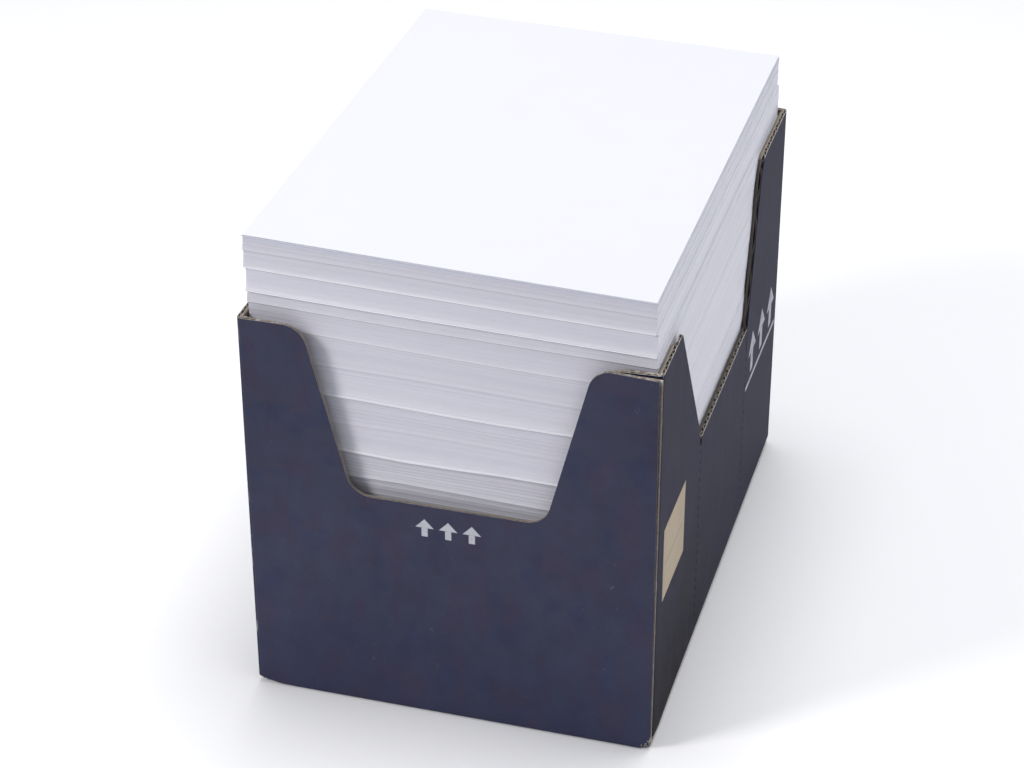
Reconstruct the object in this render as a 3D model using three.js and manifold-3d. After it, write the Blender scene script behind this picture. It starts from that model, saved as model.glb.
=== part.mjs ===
// Fan-folded stack of blank form paper, standing in the corrugated carton that it is fed from.
// Millimetres, +Z up, the scooped front towards -Y. The origin is the middle of the footprint.

import * as THREE from 'three';
import { mergeVertices } from 'three/addons/utils/BufferGeometryUtils.js';
import Module from 'manifold-3d';

// The paper: one web of A4 forms, folded to and fro along the short sides of the sheet
const SHEET_WIDTH = 210;
const SHEET_DEPTH = 297;
const STACK_HEIGHT = 259.8;
const STACK_TILT = { frontLeft: 4.2, frontRight: -1.6, backLeft: 0.6, backRight: -3.2 };
const TOP_SAG = 0.8;
const FOLD_STANDOUT = 1.1;
const LEDGE_RISE = 0.3;

// The board, and how the paper sits inside it
const BOARD = 3.2;
const FOLD_RADIUS = 2.4;
const SIDE_STAGGER = 0.4;
const SIDE_GAP = 0.4;
const END_GAP = 0.5;
const SEAT_GAP = 0.3;

// The walls and the die-cut openings in them
const WALL_HEIGHT = 227;
const OPENING_DEPTH = 95;
const OPENING_LEAN = 24;
const SCOOP_FLOOR_WIDTH = 102;
const SCOOP_RADIUS = 13;
const FRONT_LAND = 45;
const SIDE_SLANT = 56.5;
const SIDE_FLOOR = 119.5;
const SIDE_TOP_RADIUS = 14;
const NOTCH_RADIUS = 1.6;
const NOTCH_DEPTH = 4.5;

// The glued joint at the front right corner, and the closing flaps, which meet in both layers
const GLUE_FLAP = 33;
const FLAP_SEAM = 0.6;
const FLAP_SETBACK = 0.8;
const FLAP_SIDE_GAP = 1;

// The tear-off lines below both ends of the side openings
const SLIT_LENGTH = 3.2;
const SLIT_PITCH = 5.9;
const SLIT_WIDTH = 0.7;
const LONG_SLIT = 13;
const TEAR_LINE_FOOT = 22;

// The paper label on the right wall
const LABEL = { length: 48, height: 44, thickness: 0.25, fromFront: 16, foot: 85 };

// The crushed foot of the glued corner
const CRUSH = { height: 9, reach: 7, bite: 2.4 };

const innerWidth = SHEET_WIDTH + 2 * (SIDE_STAGGER + SIDE_GAP);
const innerDepth = SHEET_DEPTH + 2 * (FOLD_STANDOUT + END_GAP + BOARD);
const outerWidth = innerWidth + 2 * BOARD;
const outerDepth = innerDepth + 2 * BOARD;
const left = -outerWidth / 2;
const right = outerWidth / 2;
const front = -outerDepth / 2;
const back = outerDepth / 2;
const openingFloor = WALL_HEIGHT - OPENING_DEPTH;
const floorTop = 2 * BOARD;

// How the cuts are made: how far a cutter runs past a face, how finely an arc is stepped, how close
// two points count as one, and how little above the walls' tops the rounded mouths end
const PAST = 10;
const ARC_STEPS = 5;
const SNAP = 1e-4;
const cutTop = WALL_HEIGHT + 0.05;

const wasm = await Module();
wasm.setup();

/** A manifold solid from a closed geometry, snapped so that faces meant to be level are level. */
function toSolid(geometry) {
  const bare = geometry.clone();
  bare.deleteAttribute('normal');
  bare.deleteAttribute('uv');
  const merged = mergeVertices(bare, SNAP);
  const snapped = Array.from(merged.attributes.position.array, (value) => Math.round(value / SNAP) * SNAP);
  return new wasm.Manifold(new wasm.Mesh({
    numProp: 3,
    vertProperties: new Float32Array(snapped),
    triVerts: new Uint32Array(merged.index.array),
  }));
}

/** The least height of a triangle, which is small where it is a sliver. */
function leastHeight(a, b, c) {
  const area = b.clone().sub(a).cross(c.clone().sub(a)).length();
  return area / Math.max(a.distanceTo(b), b.distanceTo(c), c.distanceTo(a));
}

// When two triangles count as one flat face, when a turn is worth it, and how often to try
const FLATNESS = 1 - 1e-7;
const WORTH_TURNING = 1.001;
const TURNING_ROUNDS = 40;

/** Turns the diagonals of flat four-sided pairs of triangles until no turn makes them fuller. */
function evenTriangles(points, index) {
  const normal = (a, b, c) => points[b].clone().sub(points[a]).cross(points[c].clone().sub(points[a]));
  const height = (a, b, c) => leastHeight(points[a], points[b], points[c]);
  for (let turned = true, round = 0; turned && round < TURNING_ROUNDS; round += 1) {
    turned = false;
    const owner = new Map();
    for (let t = 0; t < index.length; t += 3) {
      for (let k = 0; k < 3; k += 1) owner.set(`${index[t + k]},${index[t + ((k + 1) % 3)]}`, t);
    }
    const touched = new Set();
    for (const [edge, t] of owner) {
      const [a, b] = edge.split(',').map(Number);
      const u = owner.get(`${b},${a}`);
      if (a > b || touched.has(t) || touched.has(u)) continue;
      const c = [0, 1, 2].map((k) => index[t + k]).find((v) => v !== a && v !== b);
      const d = [0, 1, 2].map((k) => index[u + k]).find((v) => v !== a && v !== b);
      const flat = normal(a, b, c).normalize().dot(normal(b, a, d).normalize()) > FLATNESS;
      const [first, second] = [normal(a, d, c), normal(d, b, c)];
      const convex = first.dot(second) > 0 && first.dot(normal(a, b, c)) > 0;
      const before = Math.min(height(a, b, c), height(b, a, d));
      const after = Math.min(height(a, d, c), height(d, b, c));
      const free = !owner.has(`${c},${d}`) && !owner.has(`${d},${c}`);
      if (flat && convex && free && after > before * WORTH_TURNING) {
        index.splice(t, 3, a, d, c);
        index.splice(u, 3, d, b, c);
        touched.add(t).add(u);
        turned = true;
      }
    }
  }
}

/** The three.js geometry of a manifold solid, its flat faces cut into full triangles. */
function toGeometry(solid) {
  const mesh = solid.getMesh();
  const positions = new Float32Array(mesh.vertProperties);
  const index = [...mesh.triVerts];
  const points = [];
  for (let i = 0; i < positions.length; i += 3) points.push(new THREE.Vector3().fromArray(positions, i));
  evenTriangles(points, index);
  const geometry = new THREE.BufferGeometry();
  geometry.setAttribute('position', new THREE.BufferAttribute(positions, 3));
  geometry.setIndex(index);
  geometry.computeVertexNormals();
  return geometry;
}

const without = (solid, cuts) => cuts.reduce((rest, cut) => rest.subtract(cut), solid);

/** A closed outline from corners [across, up, radius]; a radius rounds its corner with an arc. */
function roundedOutline(corners) {
  const points = [];
  corners.forEach(([x, y, radius = 0], i) => {
    const corner = new THREE.Vector2(x, y);
    if (radius === 0) {
      points.push(corner);
      return;
    }
    const before = corners[(i + corners.length - 1) % corners.length];
    const after = corners[(i + 1) % corners.length];
    const toBefore = new THREE.Vector2(before[0], before[1]).sub(corner).normalize();
    const toAfter = new THREE.Vector2(after[0], after[1]).sub(corner).normalize();
    const half = Math.acos(toBefore.dot(toAfter)) / 2;
    const middle = toBefore.clone().add(toAfter).normalize();
    const centre = middle.multiplyScalar(radius / Math.sin(half)).add(corner);
    const first = toBefore.multiplyScalar(radius / Math.tan(half)).add(corner).sub(centre);
    const last = toAfter.multiplyScalar(radius / Math.tan(half)).add(corner).sub(centre);
    const sweep = Math.atan2(first.cross(last), first.dot(last));
    for (let k = 0; k <= ARC_STEPS; k += 1) {
      points.push(first.clone().rotateAround(new THREE.Vector2(), (sweep * k) / ARC_STEPS).add(centre));
    }
  });
  return new THREE.Shape(points);
}

/** A prism of an outline, its section given in the two axes across its length. */
function prism(outline, along, from, to) {
  const depth = to - from;
  const geometry = new THREE.ExtrudeGeometry(outline, { depth, bevelEnabled: false, curveSegments: ARC_STEPS });
  if (along === 'x') {
    geometry.applyMatrix4(new THREE.Matrix4().makeBasis(
      new THREE.Vector3(0, 1, 0), new THREE.Vector3(0, 0, 1), new THREE.Vector3(1, 0, 0)));
    geometry.translate(from, 0, 0);
  } else if (along === 'y') {
    geometry.applyMatrix4(new THREE.Matrix4().makeBasis(
      new THREE.Vector3(-1, 0, 0), new THREE.Vector3(0, 0, 1), new THREE.Vector3(0, 1, 0)));
    geometry.translate(0, from, 0);
  } else {
    geometry.translate(0, 0, from);
  }
  return toSolid(geometry);
}

/** A box between two opposite corners. */
function box(low, high) {
  const geometry = new THREE.BoxGeometry(high[0] - low[0], high[1] - low[1], high[2] - low[2]);
  geometry.translate((low[0] + high[0]) / 2, (low[1] + high[1]) / 2, (low[2] + high[2]) / 2);
  return toSolid(geometry);
}

/** The floor plan of the folded walls; the right wall turns in behind the front wall's raw end. */
function wallPlan() {
  const jointLine = front + BOARD;
  const plan = new THREE.Shape();
  plan.moveTo(right, front);
  plan.lineTo(right, jointLine);
  plan.absarc(right - FOLD_RADIUS, jointLine + FOLD_RADIUS, FOLD_RADIUS, -Math.PI / 2, 0, false);
  plan.absarc(right - FOLD_RADIUS, back - FOLD_RADIUS, FOLD_RADIUS, 0, Math.PI / 2, false);
  plan.absarc(left + FOLD_RADIUS, back - FOLD_RADIUS, FOLD_RADIUS, Math.PI / 2, Math.PI, false);
  plan.absarc(left + FOLD_RADIUS, front + FOLD_RADIUS, FOLD_RADIUS, Math.PI, 1.5 * Math.PI, false);
  return plan;
}

/** The room between the walls, less the glue flap that lies against the front wall. */
function roomPlan() {
  const flapFace = front + 2 * BOARD;
  return roundedOutline([
    [left + BOARD, front + BOARD], [right - GLUE_FLAP, front + BOARD], [right - GLUE_FLAP, flapFace],
    [right - BOARD, flapFace], [right - BOARD, back - BOARD], [left + BOARD, back - BOARD],
  ]);
}

/** What the inner flaps of the side walls leave open: a gap at both ends and the seam between them. */
function aroundInnerFlaps() {
  const wallFace = innerWidth / 2;
  const seam = FLAP_SEAM / 2;
  const frontEdge = front + 2 * BOARD + FLAP_SIDE_GAP;
  const backEdge = back - BOARD - FLAP_SIDE_GAP;
  return prism(roundedOutline([
    [-wallFace, front + BOARD], [right - GLUE_FLAP, front + BOARD], [right - GLUE_FLAP, front + 2 * BOARD],
    [wallFace, front + 2 * BOARD], [wallFace, frontEdge], [seam, frontEdge], [seam, backEdge],
    [wallFace, backEdge], [wallFace, back - BOARD], [-wallFace, back - BOARD], [-wallFace, backEdge],
    [-seam, backEdge], [-seam, frontEdge], [-wallFace, frontEdge],
  ]), 'z', BOARD, floorTop);
}

/** What rounds off a lower edge where a wall folds under, the edge at [across, up]. */
function roundedFold(along, across, up, inward, from, to) {
  const section = new THREE.Shape();
  const mirrored = along === 'y' ? -1 : 1;
  const side = inward * mirrored;
  const edge = across * mirrored;
  section.moveTo(edge + side * FOLD_RADIUS, up);
  section.absarc(edge + side * FOLD_RADIUS, up + FOLD_RADIUS, FOLD_RADIUS,
    -Math.PI / 2, side > 0 ? -Math.PI : 0, side > 0);
  section.lineTo(edge - side * PAST, up + FOLD_RADIUS);
  section.lineTo(edge - side * PAST, up);
  return prism(section, along, from, to);
}

/** The scooped cut-out of the front wall, which the paper is taken from. */
function frontScoop() {
  const floorHalf = SCOOP_FLOOR_WIDTH / 2;
  const mouthHalf = floorHalf + OPENING_LEAN;
  const pastMouth = mouthHalf + 2 * SCOOP_RADIUS;
  return prism(roundedOutline([
    [-floorHalf, openingFloor, SCOOP_RADIUS], [floorHalf, openingFloor, SCOOP_RADIUS],
    [mouthHalf, cutTop, SCOOP_RADIUS], [pastMouth, cutTop], [pastMouth, cutTop + PAST],
    [-pastMouth, cutTop + PAST], [-pastMouth, cutTop], [-mouthHalf, cutTop, SCOOP_RADIUS],
  ]), 'y', front - PAST, front + 2 * BOARD + END_GAP);
}

// Where the level floor of a side opening starts and ends
const sideFloorFront = front + FRONT_LAND + SIDE_SLANT;
const sideFloorBack = sideFloorFront + SIDE_FLOOR;

/** The cut-outs of both side walls: a long slant in front, a steep one behind, and a die notch. */
function sideOpenings() {
  const slope = SIDE_SLANT / OPENING_DEPTH;
  const rearTop = sideFloorBack + OPENING_LEAN;
  const opening = prism(roundedOutline([
    [sideFloorFront, openingFloor], [sideFloorBack, openingFloor],
    [rearTop, cutTop, SIDE_TOP_RADIUS], [rearTop + 2 * SIDE_TOP_RADIUS, cutTop],
    [rearTop + 2 * SIDE_TOP_RADIUS, WALL_HEIGHT + PAST],
    [sideFloorFront - SIDE_SLANT - PAST * slope, WALL_HEIGHT + PAST],
  ]), 'x', left - PAST, right + PAST);
  const notchFoot = openingFloor - NOTCH_DEPTH;
  const notchRounding = NOTCH_RADIUS * 0.99;
  const notch = prism(roundedOutline([
    [sideFloorFront - NOTCH_RADIUS, notchFoot, notchRounding],
    [sideFloorFront + NOTCH_RADIUS, notchFoot, notchRounding],
    [sideFloorFront + NOTCH_RADIUS, openingFloor + 1],
    [sideFloorFront - NOTCH_RADIUS * 3, openingFloor + 1 + NOTCH_RADIUS * 3],
  ]), 'x', left - PAST, right + PAST);
  return [opening, notch];
}

/** The slits of the two tear-off lines, through both side walls at once. */
function tearLines() {
  const slits = [];
  const slit = (y, top, length) => slits.push(
    box([left - PAST, y - SLIT_WIDTH / 2, top - length], [right + PAST, y + SLIT_WIDTH / 2, top]));
  const bridge = SLIT_PITCH - SLIT_LENGTH;
  const frontTop = openingFloor - NOTCH_DEPTH - bridge;
  for (let z = frontTop; z - SLIT_LENGTH > TEAR_LINE_FOOT; z -= SLIT_PITCH) {
    slit(sideFloorFront, z, SLIT_LENGTH);
  }
  const rearTop = openingFloor - bridge;
  slit(sideFloorBack, rearTop, LONG_SLIT);
  for (let z = rearTop - LONG_SLIT - bridge; z - SLIT_LENGTH > TEAR_LINE_FOOT; z -= SLIT_PITCH) {
    slit(sideFloorBack, z, SLIT_LENGTH);
  }
  return slits;
}

/** The bites that knocks have taken out of the foot of the glued corner. */
function crushedFoot() {
  const wedge = (corner, along, up, across) => {
    const points = [corner, along, up, across].flatMap((p) => p);
    const geometry = new THREE.BufferGeometry();
    geometry.setAttribute('position', new THREE.BufferAttribute(new Float32Array(points), 3));
    geometry.setIndex([0, 2, 1, 0, 3, 2, 0, 1, 3, 1, 2, 3]);
    return toSolid(geometry);
  };
  const outside = 1;
  return wedge(
    [right + outside, front - outside, -outside],
    [right - CRUSH.reach, front - outside, -outside],
    [right + outside, front - outside, CRUSH.height],
    [right + outside, front + CRUSH.bite + BOARD, -outside]);
}

/** The carton: one die-cut blank of board, folded up and glued at its front right corner. */
function cartonSolid() {
  const block = prism(wallPlan(), 'z', 0, WALL_HEIGHT);
  const room = prism(roomPlan(), 'z', floorTop, WALL_HEIGHT + PAST);
  const seam = box([left - PAST, -FLAP_SEAM / 2, -PAST], [right + PAST, FLAP_SEAM / 2, BOARD]);

  // The side walls stand on the outer flaps, whose ends stay a little behind the walls' faces
  const innerFront = front + BOARD;
  const innerBack = back - BOARD;
  const underLeft = box([left - PAST, innerFront, -PAST], [left + FLAP_SETBACK, innerBack, BOARD]);
  const underRight = box([right - FLAP_SETBACK, innerFront, -PAST], [right + PAST, innerBack, BOARD]);
  const folds = [
    roundedFold('x', front, 0, 1, left - PAST, right + PAST),
    roundedFold('x', back, 0, -1, left - PAST, right + PAST),
    roundedFold('y', left, BOARD, 1, innerFront, innerBack),
    roundedFold('y', right, BOARD, -1, innerFront, innerBack),
  ];
  return without(block, [
    room, aroundInnerFlaps(), seam, underLeft, underRight, ...folds,
    frontScoop(), ...sideOpenings(), ...tearLines(), crushedFoot(),
  ]);
}

/**
 * The bundles that the web was folded in, from the foot up. Each starts at a height, stands out
 * in front and behind by a share of the full stand-out, and lies a share to one side. Its lower
 * edge runs in a wave of so many millimetres, with so many waves across the sheet.
 */
const BUNDLES = [
  { height: 0, front: 0.4, back: 0.3, side: 0.2, wave: 0, waves: 1 },
  { height: 24, front: 0.8, back: 0.5, side: -0.5, wave: 0.4, waves: 1.2 },
  { height: 47, front: 0.5, back: 0.9, side: 0.6, wave: 0.5, waves: 2.1 },
  { height: 72, front: 0.9, back: 0.4, side: -0.2, wave: 0.5, waves: 1.6 },
  { height: 96, front: 0.6, back: 0.8, side: 0.5, wave: 0.6, waves: 2.4 },
  { height: 113, front: 0.8, back: 0.5, side: 0.1, wave: 0.5, waves: 1.8 },
  { height: 129.5, front: 0.7, back: 0.7, side: 0.8, wave: 0.7, waves: 2.3 },
  { height: 145.5, front: 1, back: 0.5, side: -0.3, wave: 0.9, waves: 1.7 },
  { height: 163, front: 0.5, back: 0.9, side: 0.4, wave: 0.6, waves: 2.6 },
  { height: 175.5, front: 1, back: 0.6, side: 0.9, wave: 0.7, waves: 1.3 },
  { height: 192, front: 0.4, back: 0.4, side: 0.1, wave: 0.5, waves: 2.2 },
  { height: 208.5, front: 0.8, back: 0.8, side: 0.7, wave: 0.5, waves: 1.5 },
  { height: 223, front: 0.6, back: 0.5, side: -0.4, wave: 0.4, waves: 1.9 },
  { height: 231.5, front: 1, back: 0.9, side: 0.5, wave: 0.4, waves: 1.1 },
  { height: 243.5, front: 0.9, back: 0.6, side: -0.8, wave: 0.3, waves: 1.4 },
  { height: 253.5, front: 0.5, back: 0.7, side: -0.2, wave: 0.2, waves: 1 },
];
const COLUMNS = 12;
const ROWS = 6;

// How far a wave has shifted at the back of the sheet, and how much of a bundle's shift is left at its top
const WAVE_SHIFT = 0.37;
const SHIFT_LEFT = 0.8;

/** How far the tilted stack stands above its own mean height, at shares across and back. */
function tiltAt(across, along) {
  const frontTilt = THREE.MathUtils.lerp(STACK_TILT.frontLeft, STACK_TILT.frontRight, across);
  const backTilt = THREE.MathUtils.lerp(STACK_TILT.backLeft, STACK_TILT.backRight, across);
  return THREE.MathUtils.lerp(frontTilt, backTilt, along);
}

/** A point of the paper stack, at shares across and back, in a layer of the stack. */
function stackPoint(across, along, layer) {
  const share = layer.height / STACK_HEIGHT;
  const standout = THREE.MathUtils.lerp(layer.frontStandout, layer.backStandout, along);
  const outward = (along - 0.5) * 2 * FOLD_STANDOUT * standout;
  const wave = layer.wave * Math.sin(2 * Math.PI * layer.waves * (across + WAVE_SHIFT * along) + layer.height);
  const sag = TOP_SAG * layer.sag * Math.sin(Math.PI * across) * Math.sin(Math.PI * along);
  return [
    (across - 0.5) * SHEET_WIDTH + SIDE_STAGGER * layer.side,
    (along - 0.5) * SHEET_DEPTH + outward,
    floorTop + SEAT_GAP + layer.height + share * tiltAt(across, along) + wave - sag,
  ];
}

/** The layers that the skin of the stack runs through: the foot and the top of every bundle. */
function stackLayers() {
  const layers = [];
  BUNDLES.forEach((bundle, i) => {
    const above = BUNDLES[i + 1] ?? { height: STACK_HEIGHT, wave: 0, waves: 1 };
    layers.push({
      height: bundle.height + (i > 0 ? LEDGE_RISE : 0), side: bundle.side, sag: 0,
      frontStandout: bundle.front, backStandout: bundle.back, wave: bundle.wave, waves: bundle.waves,
    });
    layers.push({
      height: above.height, side: bundle.side * SHIFT_LEFT, sag: i === BUNDLES.length - 1 ? 1 : 0,
      frontStandout: 0, backStandout: 0, wave: above.wave, waves: above.waves,
    });
  });
  return layers;
}

/** The whole stack as one closed skin: a ring of points for each layer, closed by a foot and a top. */
function stackGeometry() {
  const positions = [];
  const index = [];
  const addPoint = (across, along, layer) => positions.push(...stackPoint(across, along, layer)) / 3 - 1;
  const ringShares = [];
  for (let i = 0; i < COLUMNS; i += 1) ringShares.push([i / COLUMNS, 0]);
  for (let j = 0; j < ROWS; j += 1) ringShares.push([1, j / ROWS]);
  for (let i = COLUMNS; i > 0; i -= 1) ringShares.push([i / COLUMNS, 1]);
  for (let j = ROWS; j > 0; j -= 1) ringShares.push([0, j / ROWS]);

  const layers = stackLayers();
  const rings = layers.map((layer) => ringShares.map(([across, along]) => addPoint(across, along, layer)));
  for (let k = 0; k + 1 < rings.length; k += 1) {
    ringShares.forEach((_, i) => {
      const next = (i + 1) % ringShares.length;
      const [a, b, c, d] = [rings[k][i], rings[k][next], rings[k + 1][next], rings[k + 1][i]];
      index.push(a, b, c, a, c, d);
    });
  }

  const closeWithSheet = (layer, ring, faceUp) => {
    const onRing = new Map(ringShares.map(([across, along], i) => [`${across},${along}`, ring[i]]));
    const grid = (i, j) => {
      const key = `${i / COLUMNS},${j / ROWS}`;
      if (!onRing.has(key)) onRing.set(key, addPoint(i / COLUMNS, j / ROWS, layer));
      return onRing.get(key);
    };
    for (let i = 0; i < COLUMNS; i += 1) {
      for (let j = 0; j < ROWS; j += 1) {
        const [a, b, c, d] = [grid(i, j), grid(i + 1, j), grid(i + 1, j + 1), grid(i, j + 1)];
        index.push(...(faceUp ? [a, b, c, a, c, d] : [a, c, b, a, d, c]));
      }
    }
  };
  closeWithSheet(layers[0], rings[0], false);
  closeWithSheet(layers[layers.length - 1], rings[rings.length - 1], true);

  const geometry = new THREE.BufferGeometry();
  geometry.setAttribute('position', new THREE.BufferAttribute(new Float32Array(positions), 3));
  geometry.setIndex(index);
  geometry.computeVertexNormals();
  return geometry;
}

/** The plain paper label, face to face with the right wall. */
function labelGeometry() {
  const geometry = new THREE.BoxGeometry(LABEL.thickness, LABEL.length, LABEL.height);
  geometry.translate(
    right + LABEL.thickness / 2,
    front + LABEL.fromFront + LABEL.length / 2,
    LABEL.foot + LABEL.height / 2);
  return geometry;
}

/** One named piece with its own finish. */
function piece(name, geometry, color, roughness) {
  const mesh = new THREE.Mesh(geometry, new THREE.MeshStandardMaterial({ color, roughness, metalness: 0 }));
  mesh.name = name;
  return mesh;
}

const product = new THREE.Group();
product.add(
  piece('carton', toGeometry(cartonSolid()), 0x3a3f57, 0.62),
  piece('form_stack', stackGeometry(), 0xf4f4f8, 0.85),
  piece('label', labelGeometry(), 0xb9ad93, 0.8),
);
// The label stands out on one side only, so the whole is set back to stay centred on its origin
product.position.x = -LABEL.thickness / 2;

export default product;
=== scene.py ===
"""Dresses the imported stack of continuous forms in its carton: board, paper, label, light and camera.

Sizes are in millimetres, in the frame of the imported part, and become metres where a mesh is made.
"""

import logging
import math
from dataclasses import dataclass, field
from enum import Enum

import bmesh
import bpy
import numpy as np
from mathutils import Matrix, Vector
from mathutils.geometry import delaunay_2d_cdt


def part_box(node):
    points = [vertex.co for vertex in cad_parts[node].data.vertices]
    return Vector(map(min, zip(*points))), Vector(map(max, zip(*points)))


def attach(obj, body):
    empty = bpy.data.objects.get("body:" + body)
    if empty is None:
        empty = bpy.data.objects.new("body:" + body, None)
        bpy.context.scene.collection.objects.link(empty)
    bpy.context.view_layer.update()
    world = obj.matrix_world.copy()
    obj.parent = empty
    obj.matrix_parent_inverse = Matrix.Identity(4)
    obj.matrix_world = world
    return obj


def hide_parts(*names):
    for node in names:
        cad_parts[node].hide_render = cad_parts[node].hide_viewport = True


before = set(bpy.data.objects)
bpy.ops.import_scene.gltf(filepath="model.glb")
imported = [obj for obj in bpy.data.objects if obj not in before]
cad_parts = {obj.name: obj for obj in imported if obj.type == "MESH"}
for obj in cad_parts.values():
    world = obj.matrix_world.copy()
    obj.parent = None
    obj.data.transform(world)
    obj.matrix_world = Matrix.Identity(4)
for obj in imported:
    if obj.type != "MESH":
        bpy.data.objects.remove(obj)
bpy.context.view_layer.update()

MM = 0.001
ROOT = "root"
log = logging.getLogger("form_carton")

Colour = tuple[float, float, float]
Point = tuple[float, float]
Span = tuple[float, float]
Outline = list[Point]
Face = tuple[int, ...]


def node_box(node: str) -> tuple[np.ndarray, np.ndarray]:
    """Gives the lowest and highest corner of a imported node.

    Args:
        node: The node's name.

    Returns:
        Both corners, in millimetres.
    """
    low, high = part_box(node)
    return np.array(low) / MM, np.array(high) / MM


def link(name: str, data: bpy.types.ID) -> bpy.types.Object:
    """Puts a mesh, a light or a camera in the scene.

    Args:
        name: The new object's name.
        data: What the object shows.

    Returns:
        The new object.
    """
    made = bpy.data.objects.new(name, data)
    bpy.context.scene.collection.objects.link(made)
    return made


def keep_values(mesh: bpy.types.Mesh, name: str, values: np.ndarray, kind: str = "FLOAT") -> None:
    """Keeps a value for each point of a mesh, for its finish or its node tree.

    Args:
        mesh: The mesh.
        name: The attribute's name.
        values: The value, or the vector, of each point.
        kind: FLOAT or FLOAT_VECTOR.
    """
    kept = mesh.attributes.new(name, kind, "POINT")
    kept.data.foreach_set("vector" if kind == "FLOAT_VECTOR" else "value", values.ravel())


def lay_uv(mesh: bpy.types.Mesh, name: str, flat: np.ndarray) -> None:
    """Gives every corner of a mesh the flat place of its point.

    Args:
        mesh: The mesh.
        name: The UV map's name.
        flat: The flat place of each point.
    """
    corners = np.zeros(len(mesh.loops), np.int32)
    mesh.loops.foreach_get("vertex_index", corners)
    mesh.uv_layers.new(name=name).data.foreach_set("uv", flat[corners].ravel())


def sheet_faces(columns: int, rows: int) -> list[Face]:
    """Gives the faces of a thin sheet whose lower and upper side are grids of points.

    The lower side's points come first. On both sides they run along the rows, column by column.

    Args:
        columns: How many cells a side has across.
        rows: How many cells it has along.

    Returns:
        The faces of both sides and of the rim between them.
    """
    count = (columns + 1) * (rows + 1)
    number = np.arange(count).reshape(columns + 1, rows + 1).tolist()
    faces = []
    for i in range(columns):
        for j in range(rows):
            a, b, c, d = number[i][j], number[i + 1][j], number[i + 1][j + 1], number[i][j + 1]
            faces += [(a + count, b + count, c + count, d + count), (d, c, b, a)]
    rim = [number[i][0] for i in range(columns)] + number[columns][:rows]
    rim += [number[i][rows] for i in range(columns, 0, -1)] + number[0][rows:0:-1]
    faces += [(a, b, b + count, a + count) for a, b in zip(rim, rim[1:] + rim[:1])]
    return faces


def eased(share: np.ndarray) -> np.ndarray:
    """Eases a share from 0 to 1 in and out."""
    return share * share * (3 - 2 * share)


# Shader nodes


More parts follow.
